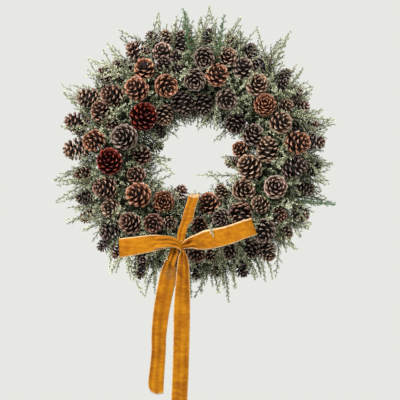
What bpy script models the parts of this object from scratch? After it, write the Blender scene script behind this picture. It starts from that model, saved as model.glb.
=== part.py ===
"""Pine cone wreath with juniper sprigs and a velvet ribbon, built upright as it hangs.

Metres, +Z up. The wreath hangs in front of the plane y = 0 and faces -Y. The origin is the point
where its wire loop rests on a nail. Places are worked out in millimetres from the wreath's
centre, x to the right, y to the back and z up, and turned into metres when a mesh is made.
"""

import math
import random
from collections import namedtuple

import bmesh
import bpy
import numpy as np
from mathutils import Vector
from mathutils.bvhtree import BVHTree

MM = 0.001
CENTRE_BELOW_NAIL = 180.0
GAP = 0.3

# Base ring: a half-round straw ring, flat at the back.
RING_RADIUS = 132.0
RING_DEPTH = 33.0
RING_STEPS = 32
RING_SIDES = 6

# Wire loop: a U-shaped pin pushed down into the top of the ring.
PIN_RADIUS = 1.0
PIN_HALF_WIDTH = 8.0
PIN_BACK = -4.5
PIN_FOOT = -37.0
PIN_HOLE_FOOT = -38.5
PIN_HOLE_RADIUS = 1.5

# Cones: the half length and the fullness of their outline, in radii, and how deep the gaps
# between their scales go.
CONE_HALF_LENGTH = 1.15
CONE_OUTLINE = 1.28
CONE_TIP_DIP = 0.11
SMALL_CONE, LARGE_CONE, LARGEST_CONE = 12.5, 15.5, 18.5
GAP_DEPTH = 0.64
SCALE_RISE = 0.13
CONE_SPHERES = ((-0.4, 0.9), (0.0, 1.0), (0.4, 0.9))
CONE_CLEARANCE = 0.7
SETTLE_ROUNDS = 260
STALK_RADIUS = 2.6
TIE_RADIUS = 1.7

# Juniper: stems with pairs of needles, each pair turned a quarter from the last.
NEEDLE = 6.0
NEEDLE_SLANT = math.radians(40)
NEEDLE_SHARES = (1.0, 0.6, 0.25)
NEEDLE_CLEARANCE = 0.9
PAIR_SPACING = 9.0
NEEDLED_END = 45.0
BARE_SPACINGS = (28.0, 14.0)
STEM_RADIUS = 1.1
STEM_CLEARANCE = 2.2
TWIG_PAIRS = 2
TWIG_ANGLE = math.radians(38)
ROOT_RADIUS = 2.3
ROOT_LENGTH = 9.0
SPRIG_CLEARANCE = 3.2
SPRAY_LIFTS = (0.0, 9.0, -9.0, 18.0, 27.0)
SPRAY_BEND = 0.35
SPRAY_POINTS = 24
STEM_SIDES = 4

# Ribbon
RIBBON_THICK = 1.6
GROOVE_WIDTH = 22.5
GROOVE_DEPTH = 2.8
SLING_SPACING = 11.0
LOOP_SPACING = 10.0
TAIL_SPACING = 16.0

Cone = namedtuple("Cone", "x z radius turn lean back tone")

# Cones by cluster. Each has the place of its middle in the front view, its radius, the way its
# tip points there in degrees from +X, how far it leans from facing forwards (90 lies across),
# how far it sits behind the others, and its colour.
CLUSTERS = {
    "cones_top_left": (
        Cone(-59, 173, 16, 100, 20, 0, "pink"),
        Cone(-91, 173, 17, 145, 80, 0, "brown"),
        Cone(-75, 184, 12, 95, 75, 14, "grey"),
    ),
    "cones_top_centre": (
        Cone(-26, 186, 15, 95, 65, 0, "dark"),
        Cone(-53, 190, 11, 105, 70, 14, "tan"),
        Cone(-34, 158, 11, 60, 30, 8, "dark"),
    ),
    "cones_top_right": (
        Cone(10, 158, 17, 270, 15, 0, "grey"),
        Cone(18, 195, 12, 85, 75, 6, "dark"),
        Cone(46, 160, 16, 60, 10, 0, "tan"),
        Cone(53, 187, 11, 75, 65, 12, "brown"),
    ),
    "cones_upper_right_a": (
        Cone(74, 141, 16, 80, 30, 0, "grey"),
        Cone(83, 170, 13, 65, 60, 10, "dark"),
        Cone(99, 143, 16, 50, 80, 0, "dark"),
    ),
    "cones_upper_left_a": (
        Cone(-122, 139, 17, 140, 75, 0, "grey"),
        Cone(-147, 131, 12, 150, 65, 14, "pink"),
        Cone(-150, 112, 11, 140, 60, 8, "dark"),
    ),
    "cones_upper_left_b": (
        Cone(-80, 138, 16, 90, 35, 0, "orange"),
        Cone(-57, 143, 13, 60, 45, 6, "dark"),
        Cone(-38, 141, 10, 60, 50, 8, "dark"),
    ),
    "cones_upper_left_c": (
        Cone(-96, 110, 18, 155, 30, 0, "orange"),
        Cone(-134, 98, 17, 170, 50, 0, "brown"),
        Cone(-51, 115, 18, 300, 28, 0, "orange"),
    ),
    "cones_left_upper": (
        Cone(-152, 69, 16, 100, 45, 0, "brown"),
        Cone(-171, 99, 17, 165, 62, 0, "tan"),
        Cone(-139, 55, 11, 250, 40, 4, "brown"),
    ),
    "cones_inner_top": (
        Cone(-5, 123, 17, 270, 20, 0, "grey"),
        Cone(-26, 91, 17, 285, 78, 0, "dark"),
        Cone(8, 90, 16, 280, 60, 0, "dark"),
    ),
    "cones_inner_top_right": (
        Cone(46, 93, 17, 300, 22, 0, "grey"),
        Cone(30, 130, 17, 45, 28, 0, "orange"),
    ),
    "cones_inner_upper_left": (
        Cone(-90, 61, 21, 45, 28, 0, "red"),
        Cone(-56, 72, 15, 275, 60, 0, "tan"),
        Cone(-64, 46, 11, 300, 70, 8, "dark"),
    ),
    "cones_inner_left": (
        Cone(-115, 35, 20, 180, 20, 0, "grey"),
        Cone(-91, 2, 15, 100, 42, 0, "brown"),
        Cone(-70, 18, 10, 10, 75, 6, "dark"),
    ),
    "cones_left_a": (
        Cone(-165, 27, 17, 215, 38, 0, "orange"),
        Cone(-194, 56, 17, 165, 62, 0, "brown"),
    ),
    "cones_left_b": (
        Cone(-141, -8, 20, 90, 18, 0, "red"),
        Cone(-194, 14, 18, 185, 72, 0, "tan"),
        Cone(-184, -27, 13, 190, 65, 4, "red_brown"),
    ),
    "cones_inner_lower_left": (
        Cone(-94, -61, 19, 170, 28, 0, "orange"),
        Cone(-99, -29, 14, 180, 25, 0, "brown"),
        Cone(-56, -72, 17, 90, 4, 0, "orange"),
        Cone(-30, -59, 12, 60, 60, 4, "pink"),
    ),
    "cones_left_lower": (
        Cone(-146, -50, 17, 180, 48, 0, "brown"),
        Cone(-139, -82, 15, 180, 20, 0, "tan"),
        Cone(-183, -64, 12, 190, 70, 2, "dark"),
        Cone(-178, -95, 11, 205, 70, 4, "brown"),
    ),
    "cones_lower_left_a": (
        Cone(-107, -106, 17, 150, 32, 0, "brown"),
        Cone(-72, -106, 15, 270, 20, 0, "red_brown"),
        Cone(-46, -107, 11, 0, 35, 4, "tan"),
    ),
    "cones_lower_left_b": (
        Cone(-139, -119, 16, 205, 70, 0, "dark"),
        Cone(-150, -137, 11, 215, 75, 6, "dark"),
        Cone(-128, -150, 12, 240, 62, 4, "red_brown"),
    ),
    "cones_bottom_left": (
        Cone(-86, -152, 14, 260, 45, 6, "dark"),
        Cone(-93, -178, 13, 262, 72, 6, "dark"),
    ),
    "cones_inner_bottom": (
        Cone(12, -73, 17, 115, 35, 0, "orange"),
        Cone(2, -110, 13, 290, 30, 4, "brown"),
        Cone(38, -57, 11, 95, 55, 4, "tan"),
    ),
    "cones_bottom": (
        Cone(-2, -152, 14, 300, 35, 6, "brown"),
        Cone(21, -155, 11, 300, 50, 8, "red_brown"),
        Cone(-4, -182, 12, 275, 75, 8, "dark"),
    ),
    "cones_lower_right_a": (
        Cone(69, -88, 18, 275, 55, 0, "brown"),
        Cone(38, -98, 14, 200, 25, 2, "grey"),
    ),
    "cones_bottom_right_a": (
        Cone(50, -146, 16, 240, 30, 0, "grey"),
        Cone(32, -176, 13, 262, 65, 4, "dark"),
    ),
    "cones_bottom_right_b": (
        Cone(85, -145, 14, 250, 50, 0, "dark"),
        Cone(71, -176, 14, 280, 65, 2, "dark"),
        Cone(110, -150, 15, 300, 55, 0, "tan"),
    ),
    "cones_lower_right_b": (
        Cone(107, -115, 18, 250, 35, 0, "grey"),
        Cone(136, -118, 14, 320, 58, 0, "tan"),
    ),
    "cones_right_lower": (
        Cone(104, -78, 13, 150, 55, 0, "tan"),
        Cone(122, -91, 12, 340, 65, 2, "red_brown"),
        Cone(164, -90, 13, 335, 70, 0, "pink"),
    ),
    "cones_inner_right_a": (
        Cone(123, -48, 18, 60, 8, 0, "pink"),
        Cone(74, -53, 18, 20, 12, 0, "tan"),
    ),
    "cones_inner_right_b": (
        Cone(86, -19, 19, 140, 42, 0, "tan"),
        Cone(70, 11, 14, 150, 35, 0, "orange"),
        Cone(58, -6, 10, 180, 65, 8, "brown"),
    ),
    "cones_right_a": (
        Cone(150, -18, 18, 20, 62, 0, "dark"),
        Cone(180, -14, 14, 0, 80, 4, "dark"),
        Cone(170, -50, 13, 350, 60, 2, "grey"),
    ),
    "cones_inner_right_c": (
        Cone(90, 34, 17, 60, 25, 0, "grey"),
        Cone(62, 58, 16, 250, 40, 0, "dark"),
        Cone(109, 9, 17, 90, 60, 4, "tan"),
    ),
    "cones_right_b": (
        Cone(157, 22, 18, 5, 42, 0, "orange"),
        Cone(188, 26, 14, 0, 72, 2, "pink"),
    ),
    "cones_right_upper": (
        Cone(131, 54, 17, 20, 28, 0, "tan"),
        Cone(156, 54, 12, 15, 60, 6, "dark"),
        Cone(182, 54, 11, 5, 80, 2, "pink"),
    ),
    "cones_upper_right_b": (
        Cone(107, 83, 17, 90, 10, 0, "orange"),
        Cone(94, 115, 17, 60, 15, 0, "tan"),
        Cone(137, 80, 12, 30, 45, 6, "tan"),
    ),
    "cones_upper_right_c": (
        Cone(134, 112, 13, 35, 50, 2, "dark"),
        Cone(139, 131, 11, 50, 62, 6, "grey"),
        Cone(157, 101, 12, 35, 65, 2, "pink"),
        Cone(165, 83, 12, 25, 72, 4, "pink"),
    ),
}

# Ribbon paths through x, y and z, each point with the ribbon's width there.
SLING_BACK = ((-12, -1.4, -92, 20), (-29.5, -1.4, -170, 20))
SLING = (
    (-27, -94, -125.2, 13), (-27, -94, -117, 15), (-23, -90, -106, 16), (-18, -85, -95, 17),
    (-12, -76, -80, 17), (-8, -62, -68, 17), (-6, -45, -60, 18), (-6, -28, -61, 19),
    (-8, -13, -70, 20), (-10.5, -3.4, -83, 20), *SLING_BACK, (-31, -6, -185, 20),
    (-31, -17, -198, 20), (-31, -34, -206, 19), (-30, -55, -205, 18), (-30, -74, -194, 17),
    (-30, -88, -176, 16), (-29, -94, -159, 14), (-29, -94, -150.6, 13),
)
LEFT_LOOP = (
    (-40.4, -102, -134.5, 13), (-48, -102, -134.5, 17), (-66, -112, -135, 25),
    (-93, -117, -139, 28), (-113, -113, -142, 29.5), (-121.5, -105, -143.5, 30),
    (-118, -97.5, -143, 29), (-95, -93.5, -140, 27), (-68, -94, -137, 23), (-48, -95, -136, 17),
    (-40.4, -95, -136, 13),
)
RIGHT_LOOP = (
    (-17.6, -102, -134, 13), (-10, -102, -134, 18), (13, -113, -132, 28), (43, -118, -124, 29),
    (72, -113, -114, 28), (86, -104.5, -110, 27), (82, -96.5, -111, 27), (50, -93, -121, 25),
    (18, -93, -130, 22),
    (-10, -95, -136, 17), (-17.6, -95, -136, 13),
)
LEFT_TAIL = (
    (-37, -101, -150.4, 11), (-37.5, -101, -158, 14), (-42, -99, -170, 20), (-47, -95, -186, 26),
    (-56, -89, -235, 26),
    (-61, -85, -277, 24), (-62, -82, -309, 23), (-66, -78, -355, 25), (-66.5, -77, -376, 25),
)
RIGHT_TAIL = (
    (-23, -103, -150.4, 11), (-23, -103, -158, 13), (-23, -103, -170, 17), (-24, -100, -190, 23),
    (-25, -94, -235, 26),
    (-26, -88, -293, 26), (-28, -83, -352, 26), (-31, -79, -413, 26),
)
LEFT_LOOP_UP = (-0.05, 0.0, 1.0)
RIGHT_LOOP_UP = (-0.33, 0.0, 0.94)
KNOT_CENTRE = (-29.0, -98.0, -138.0)
KNOT_SIZE = (22.0, 17.0, 24.0)
KNOT_BEVEL = 3.0

# Juniper bunches: the place of the root on the ring, and the tips of its sprays with how far
# each tip stands in front of the wall.
BUNCHES = {
    "juniper_top_left": ((-100, 125), (
        (-179, 160, 25), (-146, 183, 40), (-179, 133, 40))),
    "juniper_top_centre_left": ((-72, 152), (
        (-128, 207, 28), (-64, 234, 28))),
    "juniper_top": ((-10, 142), (
        (-24, 242, 28), (5, 227, 35), (-28, 121, 86))),
    "juniper_top_centre_right": ((32, 146), (
        (19, 245, 28), (42, 229, 30), (70, 226, 40))),
    "juniper_top_right": ((95, 122), (
        (94, 210, 40), (150, 206, 25), (67, 107, 86))),
    "juniper_upper_right": ((125, 95), (
        (170, 143, 30), (189, 114, 40), (117, 106, 84))),
    "juniper_right_upper": ((140, 62), (
        (202, 76, 32), (222, 60, 28), (208, 30, 32), (158, 74, 70))),
    "juniper_right": ((152, 2), (
        (218, -12, 28), (211, -43, 36), (118, -8, 84))),
    "juniper_right_lower": ((142, -65), (
        (222, -76, 28), (179, -116, 40), (140, -78, 82))),
    "juniper_lower_right": ((112, -100), (
        (160, -149, 30), (124, -194, 58), (139, -104, 76))),
    "juniper_bottom_right": ((48, -125), (
        (60, -213, 32), (32, -219, 48), (-6, -226, 32), (93, -196, 40))),
    "juniper_lower_left": ((-108, -125), (
        (-86, -227, 34), (-108, -197, 40), (-141, -187, 32))),
    "juniper_left_lower": ((-128, -90), (
        (-187, -120, 34), (-214, -100, 32), (-122, -78, 82))),
    "juniper_left": ((-150, -30), (
        (-235, -38, 28), (-232, -72, 26), (-168, -24, 66))),
    "juniper_left_upper": ((-148, 45), (
        (-221, 50, 28), (-217, 106, 30), (-113, 82, 86))),
    "juniper_inner_left": ((-100, 8), (
        (-50, 30, 66), (-43, -5, 44), (-40, -26, 52))),
    "juniper_inner_top": ((30, 104), (
        (0, 43, 40), (30, 46, 50))),
    "juniper_inner_right": ((98, -30), (
        (40, 2, 34), (-5, -29, 42), (51, -37, 62))),
}

TONES = {
    "tan": (0.40, 0.26, 0.15), "pink": (0.36, 0.22, 0.17), "brown": (0.25, 0.13, 0.08),
    "orange": (0.42, 0.19, 0.09), "grey": (0.22, 0.16, 0.13), "dark": (0.09, 0.06, 0.05),
    "red": (0.20, 0.03, 0.02), "red_brown": (0.26, 0.09, 0.06),
}
STRAW = (0.50, 0.38, 0.20)
GREEN = (0.25, 0.31, 0.19)
VELVET = (0.72, 0.36, 0.02)
WIRE = (0.16, 0.20, 0.14)


# Meshes and objects

def clear_scene():
    for thing in list(bpy.data.objects):
        bpy.data.objects.remove(thing)


def material(name, colour, roughness, metallic=0.0):
    made = bpy.data.materials.new(name)
    made.use_nodes = True
    shader = made.node_tree.nodes["Principled BSDF"]
    shader.inputs["Base Color"].default_value = (*colour, 1.0)
    shader.inputs["Roughness"].default_value = roughness
    shader.inputs["Metallic"].default_value = metallic
    made.diffuse_color = (*colour, 1.0)
    return made


def add_object(name, shape, finish):
    """An object from a shape, which is a pair of corners in millimetres and faces."""
    corners, faces = shape
    placed = (np.asarray(corners) - (0, 0, CENTRE_BELOW_NAIL)) * MM
    mesh = bpy.data.meshes.new(name)
    mesh.from_pydata(placed.tolist(), [], [list(map(int, face)) for face in faces])
    mesh.materials.append(finish)
    thing = bpy.data.objects.new(name, mesh)
    bpy.context.scene.collection.objects.link(thing)
    return thing


def shape_of(thing):
    """The corners, in millimetres from the wreath's centre, and the faces of an object."""
    corners = np.array([corner.co[:] for corner in thing.data.vertices]) / MM
    return corners + (0, 0, CENTRE_BELOW_NAIL), [list(face.vertices) for face in thing.data.polygons]


def apply_boolean(thing, shapes, operation):
    """Joins shapes to an object or cuts them from it, and leaves one plain mesh."""
    group = bpy.data.collections.new(thing.name + "_pieces")
    bpy.context.scene.collection.children.link(group)
    for number, shape in enumerate(shapes):
        piece = add_object(f"{thing.name}_{number}", shape, thing.data.materials[0])
        bpy.context.scene.collection.objects.unlink(piece)
        group.objects.link(piece)
    modifier = thing.modifiers.new("boolean", "BOOLEAN")
    modifier.operation = operation
    modifier.operand_type = "COLLECTION"
    modifier.collection = group
    modifier.solver = "EXACT"
    graph = bpy.context.evaluated_depsgraph_get()
    joined = bpy.data.meshes.new_from_object(thing.evaluated_get(graph))
    thing.modifiers.clear()
    thing.data = joined
    for piece in list(group.objects):
        bpy.data.objects.remove(piece)
    bpy.data.collections.remove(group)


def bodies_of(mesh):
    """The corner numbers of each separate body of a mesh, the largest body first."""
    parent = list(range(len(mesh.vertices)))

    def top(index):
        while parent[index] != index:
            parent[index] = parent[parent[index]]
            index = parent[index]
        return index

    for edge in mesh.edges:
        parent[top(edge.vertices[0])] = top(edge.vertices[1])
    groups = {}
    for index in range(len(parent)):
        groups.setdefault(top(index), []).append(index)
    return sorted(groups.values(), key=len, reverse=True)


def drop_scraps(mesh):
    """Keeps the largest body of a mesh and deletes loose scraps and sealed hollows."""
    scraps = bodies_of(mesh)[1:]
    if not scraps:
        return
    whole = bmesh.new()
    whole.from_mesh(mesh)
    whole.verts.ensure_lookup_table()
    loose = [whole.verts[index] for scrap in scraps for index in scrap]
    bmesh.ops.delete(whole, geom=loose, context="VERTS")
    whole.to_mesh(mesh)
    whole.free()


def tree_of(shapes):
    """One search tree over the faces of several shapes."""
    corners, faces = [], []
    for points, polygons in shapes:
        start = len(corners)
        corners.extend(map(tuple, points))
        faces.extend([[start + index for index in polygon] for polygon in polygons])
    return BVHTree.FromPolygons(corners, faces)


def zigzag_faces(rings, columns):
    """The triangles of a net whose corners stand out and lie in by turns, each split between two
    corners that lie in."""
    faces = []
    for k in range(rings - 1):
        for i in range(columns):
            j = (i + 1) % columns
            a, b, c, d = k * columns + i, k * columns + j, (k + 1) * columns + j, (k + 1) * columns + i
            if (i + k) % 2 == 0:
                faces += [(a, b, d), (b, c, d)]
            else:
                faces += [(a, b, c), (a, c, d)]
    return faces


# Paths

def fine_path(points):
    """Close points on the smooth curve through the given ones, and how far along each lies."""
    points = np.asarray(points, float)
    padded = np.vstack([2 * points[0] - points[1], points, 2 * points[-1] - points[-2]])
    fine = [points[0]]
    for before, start, end, after in zip(padded, padded[1:], padded[2:], padded[3:]):
        for t in np.linspace(0, 1, 9)[1:]:
            fine.append(0.5 * (2 * start + (end - before) * t
                               + (2 * before - 5 * start + 4 * end - after) * t ** 2
                               + (3 * start - before - 3 * end + after) * t ** 3))
    fine = np.array(fine)
    steps = np.linalg.norm(np.diff(fine[:, :3], axis=0), axis=1)
    return fine, np.concatenate([[0], np.cumsum(steps)])


def points_at(fine, along, stations):
    return np.column_stack([np.interp(stations, along, column) for column in fine.T])


def smooth_path(points, spacing):
    """Points at an even spacing on the smooth curve through the given ones."""
    fine, along = fine_path(points)
    count = max(3, round(along[-1] / spacing) + 1)
    return points_at(fine, along, np.linspace(0, along[-1], count))


def unit(vectors):
    vectors = np.asarray(vectors, float)
    return vectors / np.maximum(np.linalg.norm(vectors, axis=-1, keepdims=True), 1e-9)


def band_shape(path, across, thick):
    """A flat strip along a path whose fourth column is its width."""
    centres, widths = path[:, :3], path[:, 3:4]
    along = unit(np.gradient(centres, axis=0))
    across = unit(np.asarray(across) - along * np.sum(across * along, axis=1, keepdims=True))
    normals = np.cross(along, across)
    corners = []
    for side, face in ((-1, -1), (1, -1), (1, 1), (-1, 1)):
        corners.append(centres + across * side * widths / 2 + normals * face * thick / 2)
    corners = np.stack(corners, axis=1).reshape(-1, 3)
    faces = [(3, 2, 1, 0)]
    for k in range(len(path) - 1):
        a, b = 4 * k, 4 * k + 4
        for i in range(4):
            j = (i + 1) % 4
            if i == 2:
                faces += [(a + i, a + j, b + j), (a + i, b + j, b + i)]
            else:
                faces += [(a + i, a + j, b + i), (a + j, b + j, b + i)]
    last = 4 * (len(path) - 1)
    faces.append((last, last + 1, last + 2, last + 3))
    return corners, faces


def tube_shape(path, radius, sides):
    """A round bar along a path in a plane."""
    along = unit(np.gradient(path, axis=0))
    first = unit(np.cross(along, (0.0, 1.0, 0.0)))
    second = np.cross(along, first)
    corners = []
    for point, u, v in zip(path, first, second):
        for i in range(sides):
            angle = 2 * math.pi * i / sides
            corners.append(point + radius * (math.cos(angle) * u + math.sin(angle) * v))
    faces = [tuple(reversed(range(sides)))]
    for k in range(len(path) - 1):
        for i in range(sides):
            j = (i + 1) % sides
            a, b = k * sides, (k + 1) * sides
            faces.append((a + i, a + j, b + j, b + i))
    faces.append(tuple((len(path) - 1) * sides + i for i in range(sides)))
    return np.array(corners), faces


def rod_shape(start, end, start_radius, end_radius, sides):
    """A straight tapered rod."""
    start, end = np.asarray(start, float), np.asarray(end, float)
    axis = unit(end - start)
    u = unit(np.cross(axis, (0.31, 0.57, 0.76)))
    v = np.cross(axis, u)
    corners = []
    for point, radius in ((start, start_radius), (end, end_radius)):
        for i in range(sides):
            angle = 2 * math.pi * i / sides
            corners.append(point + radius * (math.cos(angle) * u + math.sin(angle) * v))
    faces = [tuple(reversed(range(sides))), tuple(range(sides, 2 * sides))]
    faces += [(i, (i + 1) % sides, sides + (i + 1) % sides, sides + i) for i in range(sides)]
    return np.array(corners), faces


# Cones

def cone_axis(cone):
    turn, lean = math.radians(cone.turn), math.radians(cone.lean)
    return np.array([math.sin(lean) * math.cos(turn), -math.cos(lean),
                     math.sin(lean) * math.sin(turn)])


def home_of(cone):
    """Where a cone's middle would lie on the rounded front of the wreath."""
    off = math.hypot(cone.x, cone.z) - RING_RADIUS
    reach = RING_DEPTH + 1.0 + cone.radius * (1.0 + 0.25 * math.cos(math.radians(cone.lean)))
    depth = math.sqrt(max(reach ** 2 - off ** 2, 0.0))
    depth = max(depth - cone.back, cone.radius + 1.0)
    return np.array([cone.x, -depth, cone.z], float)


def push_off_ring(points, wanted):
    """Moves that take points off the ring and the wall, to the wanted distances."""
    flat = np.hypot(points[:, 0], points[:, 2])
    off = flat - RING_RADIUS
    reach = np.maximum(np.hypot(off, points[:, 1]), 1e-6)
    lack = np.clip(RING_DEPTH + wanted - reach, 0, None)
    outward = off / reach * lack / flat
    moves = np.column_stack([points[:, 0] * outward, points[:, 1] / reach * lack,
                             points[:, 2] * outward])
    behind = np.clip(points[:, 1] + wanted, 0, None)
    moves[:, 1] -= behind
    return moves


def settle(cones, keep_clear):
    """Places for the cones, pushed apart until no two touch, and their axes."""
    homes = np.array([home_of(cone) for cone in cones])
    axes = np.array([cone_axis(cone) for cone in cones])
    radii = np.array([cone.radius for cone in cones], float)
    steps = np.array([step for step, size in CONE_SPHERES])
    sizes = np.array([size for step, size in CONE_SPHERES])
    along = (axes[:, None] * steps[:, None] * radii[:, None, None]).reshape(-1, 3)
    owner = np.repeat(np.arange(len(cones)), len(CONE_SPHERES))
    ball = (radii[:, None] * sizes).reshape(-1)
    others = owner[:, None] != owner[None, :]
    wanted = ball[:, None] + ball[None, :] + CONE_CLEARANCE
    wanted_clear = ball[:, None] + keep_clear[None, :, 3] + CONE_CLEARANCE
    places = homes.copy()
    for turn in range(SETTLE_ROUNDS):
        centres = places[owner] + along
        apart = centres[:, None] - centres[None, :]
        distance = np.maximum(np.linalg.norm(apart, axis=2), 1e-6)
        lack = np.where(others, np.clip(wanted - distance, 0, None), 0)
        moves = np.sum(apart / distance[..., None] * lack[..., None], axis=1) * 0.25
        apart = centres[:, None] - keep_clear[None, :, :3]
        distance = np.linalg.norm(apart, axis=2)
        lack = np.clip(wanted_clear - distance, 0, None)
        moves += np.sum(apart / distance[..., None] * lack[..., None], axis=1) * 0.4
        moves += push_off_ring(centres, ball + 1.0) * 0.6
        shift = np.zeros_like(places)
        np.add.at(shift, owner, moves)
        if turn < SETTLE_ROUNDS * 0.75:
            shift += (homes - places) * (0.10, 0.04, 0.10)
        places += shift
    return places, axes


def cone_shape(place, axis, radius, spin):
    """A cone along an axis, its scales raised by a formula: on an even net of corners, each
    second one stands out as a scale's tip and the rest lie in the gaps between."""
    columns = 8 if radius >= LARGE_CONE else 6
    rings = 6 if radius >= LARGEST_CONE else (5 if radius >= SMALL_CONE else 4)
    u = unit(np.cross(axis, (0.83, 0.21, 0.52)))
    v = np.cross(axis, u)
    corners = []
    for k in range(rings):
        height = -CONE_HALF_LENGTH + (2 * CONE_HALF_LENGTH - CONE_TIP_DIP) * k / (rings - 1)
        outline = math.sqrt(1 - (height / CONE_OUTLINE) ** 2)
        for i in range(columns):
            angle = spin + 2 * math.pi * i / columns
            tip = (i + k) % 2 == 0
            reach = outline * (1.0 if tip else GAP_DEPTH)
            rise = height + (SCALE_RISE if tip else 0.0)
            out = math.cos(angle) * u + math.sin(angle) * v
            corners.append(place + radius * (rise * axis + reach * out))
    faces = zigzag_faces(rings, columns)
    base, tip = len(corners), len(corners) + 1
    corners.append(place - radius * CONE_HALF_LENGTH * axis)
    corners.append(place + radius * (CONE_HALF_LENGTH - CONE_TIP_DIP) * axis)
    last = (rings - 1) * columns
    for i in range(columns):
        j = (i + 1) % columns
        faces.append((base, j, i))
        faces.append((tip, last + i, last + j))
    return np.array(corners), faces


def seat_on(tree, place):
    """The point a gap off a surface where a rod from a place meets it squarely."""
    nearest = np.array(tree.find_nearest(Vector(place))[0])
    return nearest + unit(place - nearest) * GAP


def ties_of(places, lead):
    """The pairs of a cluster's cones that a short rod joins, each cone to its nearest joined one."""
    joined, left, pairs = [lead], [number for number in range(len(places)) if number != lead], []
    while left:
        pair = min(((a, b) for a in left for b in joined),
                   key=lambda pair: np.linalg.norm(places[pair[0]] - places[pair[1]]))
        pairs.append(pair)
        left.remove(pair[0])
        joined.append(pair[0])
    return pairs


def build_cones(ring):
    """One object for each cluster: its cones, the rods that tie them to each other, and the stalk
    of the largest, wired to the ring. Returns all the cones' spheres, for the sprigs to clear."""
    cones = [cone for members in CLUSTERS.values() for cone in members]
    places, axes = settle(cones, ribbon_spheres())
    draw = random.Random(7)
    spins = [draw.uniform(0, math.pi) for cone in cones]
    finishes = {tone: material(tone, colour, 0.6) for tone, colour in TONES.items()}
    first = 0
    for name, members in CLUSTERS.items():
        mine = range(first, first + len(members))
        first += len(members)
        lead = max(range(len(members)), key=lambda number: members[number].radius)
        middles = [places[index] for index in mine]
        shapes = [cone_shape(places[i], axes[i], cones[i].radius, spins[i]) for i in mine]
        for a, b in ties_of(middles, lead):
            shapes.append(rod_shape(middles[a], middles[b], TIE_RADIUS, TIE_RADIUS, 3))
        foot = seat_on(ring, middles[lead])
        shapes.append(rod_shape(middles[lead], foot, STALK_RADIUS + 1, STALK_RADIUS, 4))
        cluster = add_object(name, shapes[0], finishes[members[lead].tone])
        apply_boolean(cluster, shapes[1:], "UNION")
    return cone_spheres(places, axes, [cone.radius for cone in cones])


def cone_spheres(places, axes, radii):
    rows = []
    for place, axis, radius in zip(places, axes, radii):
        rows += [(*(place + axis * step * radius), size * radius) for step, size in CONE_SPHERES]
    return np.array(rows)


# Ribbon

def ribbon_spheres():
    """Spheres along the ribbon that the cones and sprigs keep clear of."""
    rows = []
    for points, size in ((SLING, 9.0), (LEFT_LOOP, 3.0), (RIGHT_LOOP, 3.0)):
        path = smooth_path(points, 6.0)
        rows += [(*row[:3], size) for row in path if row[1] < -8]
    for points in (LEFT_TAIL, RIGHT_TAIL):
        for row in smooth_path(points, 8.0):
            rows += [(row[0] + side * row[3] * 0.35, row[1], row[2], 3.0) for side in (-1, 0, 1)]
    rows.append((*KNOT_CENTRE, 13.0))
    return np.array(rows)


def sling_across(path):
    return np.tile((1.0, 0.0, 0.0), (len(path), 1))


def sideways(path):
    """The width direction of a tail: level, and square to its run."""
    along = unit(np.gradient(path[:, :3], axis=0))
    return unit(np.cross(along, (0.0, 1.0, 0.0)))


def build_ribbon():
    velvet = material("velvet", VELVET, 0.8)
    sling = smooth_path(SLING, SLING_SPACING)
    add_object("ribbon_sling", band_shape(sling, sling_across(sling), RIBBON_THICK), velvet)
    for name, points, up in (("ribbon_loop_left", LEFT_LOOP, LEFT_LOOP_UP),
                             ("ribbon_loop_right", RIGHT_LOOP, RIGHT_LOOP_UP)):
        path = smooth_path(points, LOOP_SPACING)
        across = np.tile(up, (len(path), 1))
        add_object(name, band_shape(path, across, RIBBON_THICK), velvet)
    for name, points in (("ribbon_tail_left", LEFT_TAIL), ("ribbon_tail_right", RIGHT_TAIL)):
        path = smooth_path(points, TAIL_SPACING)
        add_object(name, band_shape(path, sideways(path), RIBBON_THICK), velvet)
    mesh = bmesh.new()
    bmesh.ops.create_cube(mesh, size=1.0)
    bmesh.ops.scale(mesh, vec=Vector(KNOT_SIZE), verts=mesh.verts)
    bmesh.ops.bevel(mesh, geom=mesh.edges[:], offset=KNOT_BEVEL, segments=2, affect="EDGES")
    corners = np.array([corner.co[:] for corner in mesh.verts]) + KNOT_CENTRE
    faces = [[corner.index for corner in face.verts] for face in mesh.faces]
    mesh.free()
    add_object("ribbon_knot", (corners, faces), velvet)


# Base ring and wire loop

def build_ring():
    """A half-round ring with a groove behind for the ribbon and two holes for the pin."""
    corners, faces = [], []
    for k in range(RING_STEPS):
        turn = 2 * math.pi * k / RING_STEPS
        for i in range(RING_SIDES + 1):
            angle = math.pi * i / RING_SIDES
            radius = RING_RADIUS - RING_DEPTH * math.cos(angle)
            corners.append((radius * math.cos(turn), -RING_DEPTH * math.sin(angle), radius * math.sin(turn)))
    wide = RING_SIDES + 1
    for k in range(RING_STEPS):
        a, b = k * wide, ((k + 1) % RING_STEPS) * wide
        for i in range(wide):
            j = (i + 1) % wide
            faces.append((a + i, b + i, b + j, a + j))
    ring = add_object("base_ring", (np.array(corners), faces), material("straw", STRAW, 0.9))
    groove = np.array(SLING_BACK, float)
    groove[:, 1] = 0.0
    groove[:, 3] = GROOVE_WIDTH
    groove = band_shape(groove, sling_across(groove), 2 * GROOVE_DEPTH)
    holes = []
    for side in (-1, 1):
        top = (side * PIN_HALF_WIDTH, PIN_BACK, CENTRE_BELOW_NAIL)
        foot = (side * PIN_HALF_WIDTH, PIN_BACK, CENTRE_BELOW_NAIL + PIN_HOLE_FOOT)
        holes.append(rod_shape(top, foot, PIN_HOLE_RADIUS, PIN_HOLE_RADIUS, 8))
    apply_boolean(ring, [groove] + holes, "DIFFERENCE")
    return ring


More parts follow.
